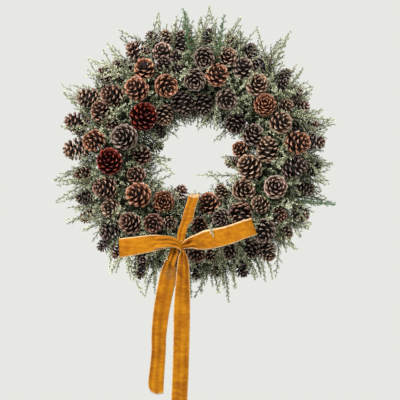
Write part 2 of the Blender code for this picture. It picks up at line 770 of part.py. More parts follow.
def build_pin():
    """The wire loop: two legs and a half-round top whose underside is at the origin's height."""
    top = PIN_RADIUS - PIN_HALF_WIDTH
    path = [(-PIN_HALF_WIDTH, PIN_FOOT)]
    for i in range(11):
        angle = math.pi * (1 - i / 10)
        path.append((PIN_HALF_WIDTH * math.cos(angle), top + PIN_HALF_WIDTH * math.sin(angle)))
    path.append((PIN_HALF_WIDTH, PIN_FOOT))
    path = np.array([(x, PIN_BACK, z + CENTRE_BELOW_NAIL) for x, z in path])
    add_object("hanging_wire", tube_shape(path, PIN_RADIUS, 6), material("wire", WIRE, 0.4, 0.8))


# Juniper

def root_spot(place, spheres, ring):
    """The foot and the crown of a root, at the free spot of the ring nearest to a place."""
    best, best_score = None, None
    turn = math.atan2(place[1], place[0])
    off = np.clip(math.hypot(*place) - RING_RADIUS, -RING_DEPTH, RING_DEPTH)
    middle = math.asin(off / RING_DEPTH)
    for i in range(-8, 9):
        for j in range(-7, 8):
            around = turn + math.radians(1.6 * i)
            tilt = middle + math.radians(9 * j)
            if abs(tilt) > math.radians(74):
                continue
            out = np.array([math.sin(tilt) * math.cos(around), -math.cos(tilt),
                            math.sin(tilt) * math.sin(around)])
            core = np.array([RING_RADIUS * math.cos(around), 0, RING_RADIUS * math.sin(around)])
            steps = np.array([0.5, 4.0, 8.0, 12.0])[:, None]
            points = core + out * (RING_DEPTH + GAP + steps)
            room = np.min(np.linalg.norm(points[:, None] - spheres[None, :, :3], axis=2) - spheres[:, 3])
            score = min(room, ROOT_RADIUS + 1.2) * 4 - 0.25 * (abs(i) + abs(j))
            if best is None or score > best_score:
                best, best_score = core + out * (RING_DEPTH + ROOT_LENGTH), score
    return seat_on(ring, best), best


def bend_clear(path, spheres):
    """A path bent until it runs clear of the spheres, the ring and the wall."""
    path = path.copy()
    for turn in range(90):
        apart = path[:, None] - spheres[None, :, :3]
        distance = np.maximum(np.linalg.norm(apart, axis=2), 1e-6)
        lack = np.clip(spheres[:, 3] + STEM_CLEARANCE - distance, 0, None)
        worst = np.argmax(lack, axis=1)
        rows = np.arange(len(path))
        moves = apart[rows, worst] / distance[rows, worst][:, None] * lack[rows, worst][:, None]
        moves += push_off_ring(path, np.full(len(path), STEM_CLEARANCE))
        moves[1:-1] += 0.22 * (path[:-2] + path[2:] - 2 * path[1:-1])
        moves[0] = 0
        path += 0.7 * moves
    return path


def stem_stations(length, bare_spacing):
    """How far along a stem its rings lie: far apart on the bare part, close under needles. Also
    gives the number of the first ring with needles."""
    needled = min(NEEDLED_END, length)
    bare = length - needled
    bare_count = max(1, round(bare / bare_spacing))
    pair_count = round(needled / PAIR_SPACING)
    stations = np.concatenate([np.linspace(0, bare, bare_count, endpoint=False),
                               np.linspace(bare, length, pair_count + 1)])
    return stations, bare_count


def sprig_shape(path, bare, tree, share):
    """A stem with needles raised from it by a formula: on its four-sided net, each second corner
    is drawn out forwards as a needle, as far as there is room for it."""
    along = unit(np.gradient(path, axis=0))
    u = unit(np.cross(along[0], (0.42, 0.35, 0.84)))
    corners = []
    for k, (point, ahead) in enumerate(zip(path, along)):
        u = unit(u - ahead * np.dot(u, ahead))
        v = np.cross(ahead, u)
        for i in range(STEM_SIDES):
            angle = 2 * math.pi * (i + 0.5) / STEM_SIDES
            out = math.cos(angle) * u + math.sin(angle) * v
            corner = point + out * STEM_RADIUS
            if k >= bare and (i + k) % 2 == 0:
                way = math.cos(NEEDLE_SLANT) * out + math.sin(NEEDLE_SLANT) * ahead
                corner = corner + way * needle_room(corner, way, tree) * share
            corners.append(corner)
    faces = [(0, 3, 2, 1)]
    faces += zigzag_faces(len(path), STEM_SIDES)
    corners.append(path[-1] + along[-1] * NEEDLE)
    last = STEM_SIDES * (len(path) - 1)
    for i in range(STEM_SIDES):
        faces.append((len(corners) - 1, last + i, last + (i + 1) % STEM_SIDES))
    return np.array(corners), faces


def needle_room(start, way, tree):
    """How long a needle may be, up to its full length."""
    for length in (NEEDLE, 0.75 * NEEDLE, 0.5 * NEEDLE):
        tip = Vector(start + way * length)
        near = tree.find_nearest(tip, NEEDLE_CLEARANCE)
        hit = tree.ray_cast(Vector(start), Vector(way), length + NEEDLE_CLEARANCE)
        if near[0] is None and hit[0] is None and tip.y < -NEEDLE_CLEARANCE:
            return length
    return 0.0


def fitted_sprig(path, bare, tree):
    """The fullest sprig along a path that crosses nothing and comes too near to nothing, or None."""
    for share in NEEDLE_SHARES:
        shape = sprig_shape(path, bare, tree, share)
        near = any(tree.find_nearest(Vector(corner), GAP)[0] for corner in shape[0])
        if not near and not tree_of([shape]).overlap(tree):
            return shape
    return None


def twig_path(path, index, side, spheres):
    """A side twig's path: it leaves the stem at an angle, to one side."""
    ahead = unit(path[index + 1] - path[index - 1])
    flat = unit(np.cross(ahead, (0.0, 1.0, 0.0)))
    way = math.cos(TWIG_ANGLE) * ahead + side * math.sin(TWIG_ANGLE) * flat
    points = path[index] + np.outer(np.arange(TWIG_PAIRS + 1) * PAIR_SPACING, way)
    return bend_clear(points, spheres)


def fitted_stem(start, out, tip, spheres, tree):
    """A spray's stem from the crown to near its tip, as its shape, path and first needled ring.
    Where it would cross something, it is tried with closer rings and then further forward."""
    t = np.linspace(0, 1, SPRAY_POINTS)[:, None]
    for lift in SPRAY_LIFTS:
        end = tip - (0, lift, 0)
        bend = start + out * SPRAY_BEND * np.linalg.norm(end - start)
        rough = (1 - t) ** 2 * start + 2 * t * (1 - t) * bend + t ** 2 * end
        fine, along = fine_path(bend_clear(rough, spheres))
        for bare_spacing in BARE_SPACINGS:
            stations, bare = stem_stations(along[-1], bare_spacing)
            path = points_at(fine, along, stations)
            shape = fitted_sprig(path, bare, tree)
            if shape is not None:
                return shape, path, bare
    return None, None, None


def spray_shapes(crown, out, tips, spheres, tree):
    """The sprays of a bunch, each with a side twig, and the paths that they follow."""
    shapes, paths = [], []
    start = crown - out * ROOT_RADIUS
    for number, (x, z, front) in enumerate(tips):
        stem, path, bare = fitted_stem(start, out, np.array([x, -front, z], float), spheres, tree)
        if stem is None:
            continue
        shapes.append(stem)
        paths.append(path)
        side = 1 if number % 2 else -1
        twig = twig_path(path, min(bare + 1, len(path) - 2), side, spheres)
        shape = fitted_sprig(twig, 1, tree)
        if shape is not None:
            shapes.append(shape)
            paths.append(twig)
    return shapes, paths


def build_juniper(spheres, ring):
    """One object for each bunch: its sprays and their side twigs, fused at a root on the ring."""
    green = material("juniper", GREEN, 0.7)
    built = [shape_of(thing) for thing in bpy.data.objects if thing.type == "MESH"]
    for name, (place, tips) in BUNCHES.items():
        foot, crown = root_spot(place, spheres, ring)
        shapes, paths = spray_shapes(crown, unit(crown - foot), tips, spheres, tree_of(built))
        bunch = add_object(name, rod_shape(foot, crown, ROOT_RADIUS, ROOT_RADIUS, 6), green)
        apply_boolean(bunch, shapes, "UNION")
        drop_scraps(bunch.data)
        built.append(shape_of(bunch))
        grown = [(*point, SPRIG_CLEARANCE) for path in paths for point in path[1:]]
        spheres = np.vstack([spheres, grown])


def main():
    clear_scene()
    ring = tree_of([shape_of(build_ring())])
    build_pin()
    build_ribbon()
    cones = build_cones(ring)
    build_juniper(np.vstack([cones, ribbon_spheres()]), ring)


main()
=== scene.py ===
"""Looks of the pine cone wreath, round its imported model: scaled cones, juniper, velvet and straw.

Places are worked out in millimetres from the wreath's centre, as in the part's source, x to the right,
y to the back and z up, and are turned into metres where a mesh is made.
"""

import math
import random
from collections import namedtuple

import bpy
import numpy as np
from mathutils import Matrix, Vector
from mathutils.bvhtree import BVHTree


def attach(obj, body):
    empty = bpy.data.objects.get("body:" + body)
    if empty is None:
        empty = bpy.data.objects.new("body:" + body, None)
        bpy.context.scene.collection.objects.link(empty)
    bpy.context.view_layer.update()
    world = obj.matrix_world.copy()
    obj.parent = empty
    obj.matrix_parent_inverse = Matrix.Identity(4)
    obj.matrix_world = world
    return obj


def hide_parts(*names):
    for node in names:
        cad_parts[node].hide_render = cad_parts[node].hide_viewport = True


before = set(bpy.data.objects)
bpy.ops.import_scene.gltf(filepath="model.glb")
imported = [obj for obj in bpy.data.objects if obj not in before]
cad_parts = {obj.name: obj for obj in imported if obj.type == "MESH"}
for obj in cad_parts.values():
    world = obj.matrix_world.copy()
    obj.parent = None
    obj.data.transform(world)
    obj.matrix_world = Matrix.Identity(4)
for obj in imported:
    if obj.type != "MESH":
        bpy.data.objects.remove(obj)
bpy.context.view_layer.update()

MM = 0.001
TINY = 1e-6
FULL_TURN = 6.28
CENTRE_BELOW_NAIL = 180.0
PHOTO_CENTRE = (198.0, 157.0)
PHOTO_SCALE = 1.6
RING_RADIUS = 132.0
RING_DEPTH = 33.0
GOLDEN_TURN = math.radians(137.508)

Cone = namedtuple("Cone", "x z radius turn lean back tone form", defaults=("open",))

# Cones by cluster, each with its place, radius, the way its tip points, its lean from facing
# forwards, how far it sits behind the others, its colour and, where it isn't open, its form.
CLUSTER_ROWS = {
    "cones_top_left": [
        (-59, 173, 16, 100, 20, 0, "pink"), (-91, 173, 17, 145, 80, 0, "brown"),
        (-75, 184, 12, 95, 75, 14, "grey")],
    "cones_top_centre": [
        (-26, 186, 15, 95, 65, 0, "dark"), (-53, 190, 11, 105, 70, 14, "tan"),
        (-34, 158, 11, 60, 30, 8, "dark")],
    "cones_top_right": [
        (10, 158, 17, 270, 15, 0, "grey", "rosette"), (18, 195, 12, 85, 75, 6, "dark"),
        (46, 160, 16, 60, 10, 0, "tan", "rosette"), (53, 187, 11, 75, 65, 12, "brown")],
    "cones_upper_right_a": [
        (74, 141, 16, 80, 30, 0, "grey"), (83, 170, 13, 65, 60, 10, "dark"),
        (99, 143, 16, 50, 80, 0, "dark")],
    "cones_upper_left_a": [
        (-122, 139, 17, 140, 75, 0, "grey"), (-147, 131, 12, 150, 65, 14, "pink"),
        (-150, 112, 11, 140, 60, 8, "dark")],
    "cones_upper_left_b": [
        (-80, 138, 16, 90, 35, 0, "orange", "bowl"), (-57, 143, 13, 60, 45, 6, "dark"),
        (-38, 141, 10, 60, 50, 8, "dark")],
    "cones_upper_left_c": [
        (-96, 110, 18, 155, 30, 0, "orange"), (-134, 98, 17, 170, 50, 0, "brown"),
        (-51, 115, 18, 300, 28, 0, "orange")],
    "cones_left_upper": [
        (-152, 69, 16, 100, 45, 0, "brown"), (-171, 99, 17, 165, 62, 0, "tan"),
        (-139, 55, 11, 250, 40, 4, "brown")],
    "cones_inner_top": [
        (-5, 123, 17, 270, 20, 0, "grey", "rosette"), (-26, 91, 17, 285, 78, 0, "dark"),
        (8, 90, 16, 280, 60, 0, "dark")],
    "cones_inner_top_right": [
        (46, 93, 17, 300, 22, 0, "grey"), (30, 130, 17, 45, 28, 0, "orange")],
    "cones_inner_upper_left": [
        (-90, 61, 21, 45, 28, 0, "red", "tight"), (-56, 72, 15, 275, 60, 0, "tan"),
        (-64, 46, 11, 300, 70, 8, "dark")],
    "cones_inner_left": [
        (-115, 35, 20, 180, 20, 0, "grey", "rosette"), (-91, 2, 15, 100, 42, 0, "brown"),
        (-70, 18, 10, 10, 75, 6, "dark")],
    "cones_left_a": [
        (-165, 27, 17, 215, 38, 0, "orange"), (-194, 56, 17, 165, 62, 0, "brown")],
    "cones_left_b": [
        (-141, -8, 20, 90, 18, 0, "red", "tight"), (-194, 14, 18, 185, 72, 0, "tan"),
        (-184, -27, 13, 190, 65, 4, "red_brown")],
    "cones_inner_lower_left": [
        (-94, -61, 19, 170, 28, 0, "orange"), (-99, -29, 14, 180, 25, 0, "brown"),
        (-56, -72, 17, 90, 4, 0, "orange", "rose"), (-30, -59, 12, 60, 60, 4, "pink")],
    "cones_left_lower": [
        (-146, -50, 17, 180, 48, 0, "brown"), (-139, -82, 15, 180, 20, 0, "tan"),
        (-183, -64, 12, 190, 70, 2, "dark"), (-178, -95, 11, 205, 70, 4, "brown")],
    "cones_lower_left_a": [
        (-107, -106, 17, 150, 32, 0, "brown", "rosette"), (-72, -106, 15, 270, 20, 0, "red_brown"),
        (-46, -107, 11, 0, 35, 4, "tan")],
    "cones_lower_left_b": [
        (-139, -119, 16, 205, 70, 0, "dark"), (-150, -137, 11, 215, 75, 6, "dark"),
        (-128, -150, 12, 240, 62, 4, "red_brown")],
    "cones_bottom_left": [
        (-86, -152, 14, 260, 45, 6, "dark"), (-93, -178, 13, 262, 72, 6, "dark")],
    "cones_inner_bottom": [
        (12, -73, 17, 115, 35, 0, "orange"), (2, -110, 13, 290, 30, 4, "brown"),
        (38, -57, 11, 95, 55, 4, "tan")],
    "cones_bottom": [
        (-2, -152, 14, 300, 35, 6, "brown"), (21, -155, 11, 300, 50, 8, "red_brown"),
        (-4, -182, 12, 275, 75, 8, "dark")],
    "cones_lower_right_a": [
        (69, -88, 18, 275, 55, 0, "brown"), (38, -98, 14, 200, 25, 2, "grey", "rosette")],
    "cones_bottom_right_a": [
        (50, -146, 16, 240, 30, 0, "grey"), (32, -176, 13, 262, 65, 4, "dark")],
    "cones_bottom_right_b": [
        (85, -145, 14, 250, 50, 0, "dark"), (71, -176, 14, 280, 65, 2, "dark"),
        (110, -150, 15, 300, 55, 0, "tan")],
    "cones_lower_right_b": [
        (107, -115, 18, 250, 35, 0, "grey"), (136, -118, 14, 320, 58, 0, "tan")],
    "cones_right_lower": [
        (104, -78, 13, 150, 55, 0, "tan"), (122, -91, 12, 340, 65, 2, "red_brown"),
        (164, -90, 13, 335, 70, 0, "pink")],
    "cones_inner_right_a": [
        (123, -48, 18, 60, 8, 0, "pink", "rosette"), (74, -53, 18, 20, 12, 0, "tan", "rosette")],
    "cones_inner_right_b": [
        (86, -19, 19, 140, 42, 0, "tan"), (70, 11, 14, 150, 35, 0, "orange"),
        (58, -6, 10, 180, 65, 8, "brown")],
    "cones_right_a": [
        (150, -18, 18, 20, 62, 0, "dark"), (180, -14, 14, 0, 80, 4, "dark"),
        (170, -50, 13, 350, 60, 2, "grey")],
    "cones_inner_right_c": [
        (90, 34, 17, 60, 25, 0, "grey", "rosette"), (62, 58, 16, 250, 40, 0, "dark"),
        (109, 9, 17, 90, 60, 4, "tan")],
    "cones_right_b": [
        (157, 22, 18, 5, 42, 0, "orange"), (188, 26, 14, 0, 72, 2, "pink")],
    "cones_right_upper": [
        (131, 54, 17, 20, 28, 0, "tan"), (156, 54, 12, 15, 60, 6, "dark"),
        (182, 54, 11, 5, 80, 2, "pink")],
    "cones_upper_right_b": [
        (107, 83, 17, 90, 10, 0, "orange", "rose"), (94, 115, 17, 60, 15, 0, "tan", "rosette"),
        (137, 80, 12, 30, 45, 6, "tan")],
    "cones_upper_right_c": [
        (134, 112, 13, 35, 50, 2, "dark"), (139, 131, 11, 50, 62, 6, "grey"),
        (157, 101, 12, 35, 65, 2, "pink"), (165, 83, 12, 25, 72, 4, "pink")],
}
CLUSTERS = {name: [Cone(*row) for row in rows] for name, rows in CLUSTER_ROWS.items()}
CONES = [cone for members in CLUSTERS.values() for cone in members]
CONE_RADII = np.array([cone.radius for cone in CONES], float)

# Ribbon paths through x, y and z, each point with the ribbon's width there.
SLING_BACK = ((-12, -1.4, -92, 20), (-29.5, -1.4, -170, 20))
SLING = (
    (-26, -94, -125.2, 13), (-24.5, -94, -118, 13.5), (-21.6, -90, -108, 12.5), (-16, -85, -96, 17),
    (-12, -76, -80, 16), (-8, -62, -68, 17), (-6, -45, -60, 18), (-6, -28, -61, 19),
    (-8, -13, -70, 20), (-10.5, -3.4, -83, 20), *SLING_BACK, (-31, -6, -185, 20),
    (-31, -17, -198, 20), (-31, -34, -206, 19), (-30, -55, -205, 18), (-30, -74, -194, 17),
    (-30, -88, -176, 16), (-29, -94, -159, 14), (-29, -94, -150.6, 13),
)
LEFT_LOOP = (
    (-40.4, -102, -134.5, 13), (-48, -102, -134.5, 17), (-66, -112, -135, 25), (-93, -117, -139, 28),
    (-113, -113, -142, 29.5), (-121.5, -105, -143.5, 30), (-118, -97.5, -143, 29),
    (-95, -93.5, -140, 27), (-68, -94, -137, 23), (-48, -95, -136, 17), (-40.4, -95, -136, 13),
)
RIGHT_LOOP = (
    (-19, -106, -138, 12.5), (-9, -108, -134.5, 19), (2.5, -111, -133, 26), (15, -115, -130, 30),
    (43, -118, -124, 29), (72, -113, -114, 28), (86, -104.5, -110, 27), (82, -96.5, -111, 27),
    (50, -93, -121, 25), (18, -93, -130, 22), (-10, -95, -136, 17), (-17.6, -95, -136, 13),
)
LEFT_TAIL = (
    (-37.5, -101, -150.4, 14), (-40.5, -101, -159, 15), (-44.5, -99, -170, 18),
    (-46.5, -95, -186, 26), (-56, -89, -235, 26), (-61, -85, -277, 24), (-62, -82, -309, 23),
    (-66, -78, -355, 25), (-66.5, -77, -376, 25),
)
RIGHT_TAIL = (
    (-23.5, -103, -150.4, 8.5), (-23.5, -103, -157, 14), (-23, -103, -170, 18.5),
    (-23.5, -100, -189, 21), (-25, -94, -235, 26), (-26, -88, -293, 26), (-28, -83, -352, 26),
    (-31, -79, -413, 26),
)

# The band of the knot, which comes out of the left loop, goes over the middle of the bow and is
# tucked in under the right loop. The last lines are the hidden ends inside the knot.
WRAP = (
    (-72, -107, -134.5, 19), (-66, -112, -134, 20), (-56, -114, -133.2, 19.5),
    (-46, -113.5, -133.2, 18), (-37, -112, -134.5, 15.5), (-30, -110, -137.5, 12.5),
    (-25, -106, -142, 10.5), (-24, -99, -145.5, 10), (-28, -94, -145, 10),
)
SLING_INSIDE = ((-27, -95, -133, 11), (-29, -96, -143, 11))
LEFT_LOOP_INSIDE = ((-30, -102, -136, 10), (-30, -96, -137, 10))
RIGHT_LOOP_INSIDE = ((-26.5, -104, -141.5, 6.5), (-27, -96, -138, 10))
LEFT_TAIL_INSIDE = (-36.5, -101, -141, 12)
RIGHT_TAIL_INSIDE = (-25, -102, -141, 7)
KNOT_CENTRE = (-29.0, -98.0, -138.0)

# Juniper bunches: the place of the root on the ring, and the tips of its sprays with how far
# each tip stands in front of the wall.
BUNCHES = {
    "juniper_top_left": ((-100, 125), (-179, 160, 25), (-146, 183, 40), (-179, 133, 40)),
    "juniper_top_centre_left": ((-72, 152), (-128, 207, 28), (-64, 234, 28)),
    "juniper_top": ((-10, 142), (-24, 242, 28), (5, 227, 35), (-28, 121, 86)),
    "juniper_top_centre_right": ((32, 146), (19, 245, 28), (42, 229, 30), (70, 226, 40)),
    "juniper_top_right": ((95, 122), (94, 210, 40), (150, 206, 25), (67, 107, 86)),
    "juniper_upper_right": ((125, 95), (170, 143, 30), (189, 114, 40), (117, 106, 84)),
    "juniper_right_upper": ((140, 62), (202, 76, 32), (222, 60, 28), (208, 30, 32), (158, 74, 70)),
    "juniper_right": ((152, 2), (218, -12, 28), (211, -43, 36), (118, -8, 84)),
    "juniper_right_lower": ((142, -65), (222, -76, 28), (179, -116, 40), (140, -78, 82)),
    "juniper_lower_right": ((112, -100), (160, -149, 30), (124, -194, 58), (139, -104, 76)),
    "juniper_bottom_right": ((48, -125), (60, -213, 32), (32, -219, 48), (-6, -226, 32), (93, -196, 40)),
    "juniper_lower_left": ((-108, -125), (-86, -227, 34), (-108, -197, 40), (-141, -187, 32)),
    "juniper_left_lower": ((-128, -90), (-187, -120, 34), (-214, -100, 32), (-122, -78, 82)),
    "juniper_left": ((-150, -30), (-235, -38, 28), (-232, -72, 26), (-168, -24, 66)),
    "juniper_left_upper": ((-148, 45), (-221, 50, 28), (-217, 106, 30), (-113, 82, 86)),
    "juniper_inner_left": ((-100, 8), (-50, 30, 66), (-43, -5, 44), (-40, -26, 52)),
    "juniper_inner_top": ((30, 104), (0, 43, 40), (30, 46, 50)),
    "juniper_inner_right": ((98, -30), (40, 2, 34), (-5, -29, 42), (51, -37, 62)),
}

# Tips of further sprigs in the photo's pixels, round the outer and the inner edge.
OUTER_TIPS = (
    (118, 33), (107, 43), (101, 47), (86, 57), (91, 58), (86, 67), (79, 81), (60, 84), (64, 96),
    (60, 126), (51, 179), (54, 185), (53, 203), (64, 208), (64, 225), (81, 231), (90, 243),
    (105, 254), (110, 274), (126, 275), (135, 280), (144, 298), (154, 296), (191, 300), (202, 295),
    (218, 294), (229, 304), (236, 290), (256, 280), (262, 278), (274, 281), (289, 253), (298, 250),
    (300, 237), (310, 230), (337, 204), (329, 184), (333, 169), (334, 163), (337, 123), (337, 118),
    (324, 110), (316, 86), (311, 78), (304, 69), (299, 61), (286, 52), (292, 28), (260, 37),
    (257, 26), (245, 27), (241, 22), (240, 15), (224, 15), (210, 4), (201, 15), (192, 19), (186, 10),
    (183, 6), (175, 17), (171, 22), (166, 20), (158, 11),
)
INNER_TIPS = (
    (178, 137), (173, 133), (186, 126), (163, 144), (171, 160), (173, 173), (198, 128), (210, 126),
    (217, 129), (205, 121), (214, 141), (220, 138), (223, 156), (209, 170), (211, 184), (160, 182),
)
# Pixels where the sprigs are a fresh green, where a tip at the edge is a deep green, and where
# the ring would be left bare.
FRESH_PLACES = ((295, 112), (260, 187), (268, 203), (112, 236), (219, 258))
DEEP_GREEN_TIPS = ((337, 204), (286, 52), (186, 10), (224, 15))
BARE_PLACES = ((122, 114), (133, 105), (205, 266), (213, 264))


# Vectors and paths

def unit(vectors):
    vectors = np.asarray(vectors, float)
    return vectors / np.maximum(np.linalg.norm(vectors, axis=-1, keepdims=True), 1e-9)


def from_photo(spot):
    """A spot in the photo's pixels as x and z in millimetres."""
    return ((spot[0] - PHOTO_CENTRE[0]) * PHOTO_SCALE, (PHOTO_CENTRE[1] - spot[1]) * PHOTO_SCALE)


def straight_out(turn):
    """The way straight out from the wreath's middle, at an angle round it."""
    return np.array([math.cos(turn), 0, math.sin(turn)])


def facing(turn, lean):
    """The way that faces forwards, leant outwards at an angle round the wreath."""
    return np.array([math.sin(lean) * math.cos(turn), -math.cos(lean), math.sin(lean) * math.sin(turn)])


def bow(t, start, middle, end):
    """Points on a curve from start to end, pulled towards the middle, at shares t of its run."""
    return (1 - t) ** 2 * start + 2 * t * (1 - t) * middle + t ** 2 * end


def fine_path(points):
    """Close points on the smooth curve through the given ones, and how far along each lies."""
    points = np.asarray(points, float)
    padded = np.vstack([2 * points[0] - points[1], points, 2 * points[-1] - points[-2]])
    fine = [points[0]]
    for before, start, end, after in zip(padded, padded[1:], padded[2:], padded[3:]):
        for t in np.linspace(0, 1, 9)[1:]:
            fine.append(0.5 * (2 * start + (end - before) * t
                               + (2 * before - 5 * start + 4 * end - after) * t ** 2
                               + (3 * start - before - 3 * end + after) * t ** 3))
    fine = np.array(fine)
    steps = np.linalg.norm(np.diff(fine[:, :3], axis=0), axis=1)
    return fine, np.concatenate([[0], np.cumsum(steps)])


def points_at(fine, along, stations):
    return np.column_stack([np.interp(stations, along, column) for column in fine.T])


def smooth_path(points, spacing):
    """Points at an even spacing on the smooth curve through the given ones."""
    fine, along = fine_path(points)
    count = max(3, round(along[-1] / spacing) + 1)
    return points_at(fine, along, np.linspace(0, along[-1], count))


# Meshes

WALL_SIDE = -0.8
BENT_BACK = 0.35


class Stock:
    """Corners and faces gathered for one piece. Each corner has three numbers for its material:
    on cones how far along its scale it lies, which sets the painted shade deep between the scales,
    how pale its edge is, partly a painted highlight, and how dark its scale is, on juniper how old it
    looks, with painted shade deep among the cones and under the top of the hole, its fresh green and
    its sprig's tint, on velvet the painted shade of its creases, its hem, which also carries the
    sling's painted highlight, and its wear, and on straw how far it is pressed in, which also paints
    a shadow line along the wire, its stalk, and its moss with painted shade on the front."""

    def __init__(self):
        self.corners, self.values, self.faces, self.finishes, self.smooth = [], [], [], [], []
        self.count = 0

    def add_faces(self, faces, finish=0, smooth=True):
        self.faces.extend(faces)
        self.finishes.extend([finish] * len(faces))
        self.smooth.extend([smooth] * len(faces))

    def add(self, corners, faces, along, rim, grain, finish=0, smooth=True):
        corners = np.asarray(corners, float).reshape(-1, 3)
        values = np.zeros((len(corners), 3))
        for column, numbers in enumerate((along, rim, grain)):
            values[:, column] = np.ravel(numbers)
        self.add_faces((np.asarray(faces, int) + self.count).tolist(), finish, smooth)
        self.corners.append(corners)
        self.values.append(values)
        self.count += len(corners)

    def piece(self, name, finishes, slot, nodes=(), soft=False):
        """Makes the piece, which rides on the one body and stands for the given nodes. What is soft
        bends forwards off the wall."""
        placed = np.concatenate(self.corners) - (0, 0, CENTRE_BELOW_NAIL)
        if soft:
            past = placed[:, 1] > WALL_SIDE
            placed[past, 1] = WALL_SIDE - BENT_BACK * (placed[past, 1] - WALL_SIDE)
        placed *= MM
        mesh = bpy.data.meshes.new(name)
        mesh.from_pydata(placed.tolist(), [], self.faces)
        for finish in finishes:
            mesh.materials.append(finish)
        mesh.polygons.foreach_set("material_index", np.array(self.finishes, np.int32))
        mesh.polygons.foreach_set("use_smooth", np.array(self.smooth, bool))
        values = np.concatenate(self.values)
        for column, label in enumerate(("along", "rim", "grain")):
            numbers = mesh.attributes.new(label, "FLOAT", "POINT")
            numbers.data.foreach_set("value", values[:, column].astype(np.float32))
        mesh.update()
        thing = bpy.data.objects.new(name, mesh)
        bpy.context.scene.collection.objects.link(thing)
        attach(thing, "root")
        if nodes:
            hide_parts(*nodes)
        return thing


def net_faces(rows, columns, closed):
    """Faces of a net of corners, whose rows may close round."""
    k, i = np.meshgrid(np.arange(rows - 1), np.arange(columns if closed else columns - 1), indexing="ij")
    j = (i + 1) % columns
    return np.stack([k * columns + i, k * columns + j, (k + 1) * columns + j, (k + 1) * columns + i],
                    axis=-1).reshape(-1, 4)


def tube(stock, path, radii, sides, along, rim, grain, finish):
    """A round stem along a path, open at its ends."""
    path = np.asarray(path, float)
    ways = unit(np.gradient(path, axis=0))
    first = unit(np.cross(ways, (0.31, 0.57, 0.76)))
    second = np.cross(ways, first)
    turns = 2 * np.pi * np.arange(sides) / sides
    around = np.cos(turns)[:, None] * first[:, None] + np.sin(turns)[:, None] * second[:, None]
    radii = np.broadcast_to(np.asarray(radii, float), (len(path),))
    corners = path[:, None] + around * radii[:, None, None]
    stock.add(corners, net_faces(len(path), sides, True), along, rim, grain, finish)


def mesh_tree(node):
    """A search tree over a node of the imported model, in millimetres from the wreath's centre."""
    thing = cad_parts[node]
    corners = np.array([(thing.matrix_world @ corner.co)[:] for corner in thing.data.vertices]) / MM
    corners[:, 2] += CENTRE_BELOW_NAIL
    return BVHTree.FromPolygons(corners.tolist(), [list(face.vertices) for face in thing.data.polygons])


def nearest_on(tree, point):
    return np.array(tree.find_nearest(Vector(point))[0])


# Materials

class Shading:
    """A node tree, built up with few words."""

    def __init__(self, tree):
        self.nodes = tree.nodes
        self.links = tree.links

    def put(self, socket, value):
        """Links an output to a socket, or sets it to a number, a vector or a colour."""
        if hasattr(value, "is_output"):
            self.links.new(value, socket)
        else:
            socket.default_value = (*value, 1.0) if socket.type == "RGBA" else value

    def node(self, kind, output, inputs=(), **settings):
        """One output of a new node, with its inputs by name or number."""
        made = self.nodes.new("ShaderNode" + kind)
        for name, setting in settings.items():
            setattr(made, name, setting)
        for socket, value in inputs:
            self.put(made.inputs[socket], value)
        return made.outputs[output]

    def value(self, label):
        return self.node("Attribute", "Fac", attribute_name=label)

    def noise(self, scale, detail=3.0, stretch=None):
        place = self.node("TexCoord", "Object")
        if stretch:
            place = self.node("Mapping", "Vector", (("Scale", stretch), ("Vector", place)))
        return self.node("TexNoise", "Fac", (("Scale", scale), ("Detail", detail), ("Vector", place)))

    def add(self, a, b, clamp=False):
        return self.node("Math", 0, ((0, a), (1, b)), operation="ADD", use_clamp=clamp)

    def times(self, a, b, clamp=False):
        return self.node("Math", 0, ((0, a), (1, b)), operation="MULTIPLY", use_clamp=clamp)

    def span(self, value, low, high, start=0.0, end=1.0):
        """A value's share of the way from low to high, from start to end."""
        ends = (("From Min", low), ("From Max", high), ("To Min", start), ("To Max", end))
        return self.node("MapRange", "Result", (*ends, ("Value", value)))

    def ramp(self, value, *stops):
        node = self.nodes.new("ShaderNodeValToRGB")
        band = node.color_ramp
        while len(band.elements) < len(stops):
            band.elements.new(0.5)
        for element, (place, colour) in zip(band.elements, stops):
            element.position = place
            element.color = (*colour, 1.0)
        self.put(node.inputs["Fac"], value)
        return node.outputs["Color"]


class Finish(Shading):
    """A material, whose shade is laid on colour by colour."""

    def __init__(self, name, **numbers):
        self.made = bpy.data.materials.new(name)
        self.made.use_nodes = True
        super().__init__(self.made.node_tree)
        self.shader = self.nodes["Principled BSDF"]
        for label, number in numbers.items():
            self.put(self.shader.inputs[label.replace("_", " ")], number)

    def over(self, share, colour):
        """Lays a colour over the shade, by its share."""
        self.shade = self.node("Mix", 2, ((0, share), (6, self.shade), (7, colour)), data_type="RGBA")

    def bump(self, height, strength, distance):
        normal = self.node("Bump", "Normal", (
            ("Strength", strength), ("Distance", distance), ("Height", height)))
        self.put(self.shader.inputs["Normal"], normal)

    def done(self):
        self.put(self.shader.inputs["Base Color"], self.shade)
        return self.made


# Each tone's colours: a painted shade deep between the scales, the scales' own colour, and along
# their rims, paler weathered tips that are partly a painted highlight.
TONES = {
    "tan": ((0.011, 0.006, 0.004), (0.28, 0.125, 0.064), (0.72, 0.51, 0.37)),
    "pink": ((0.011, 0.006, 0.005), (0.25, 0.096, 0.060), (0.80, 0.58, 0.48)),
    "brown": ((0.008, 0.004, 0.003), (0.19, 0.062, 0.033), (0.56, 0.34, 0.25)),
    "orange": ((0.011, 0.004, 0.003), (0.34, 0.088, 0.028), (0.72, 0.39, 0.25)),
    "grey": ((0.008, 0.005, 0.004), (0.14, 0.076, 0.052), (0.50, 0.375, 0.30)),
    "dark": ((0.005, 0.003, 0.003), (0.058, 0.029, 0.022), (0.38, 0.265, 0.22)),
    "red": ((0.006, 0.001, 0.001), (0.095, 0.007, 0.004), (0.21, 0.019, 0.010)),
    "red_brown": ((0.009, 0.004, 0.003), (0.20, 0.054, 0.032), (0.54, 0.30, 0.22)),
}
# A brighter red laid in patches along the red cones' rims: a painted highlight of their gloss.
PAINTED_HIGHLIGHT_RED = (0.50, 0.045, 0.012)


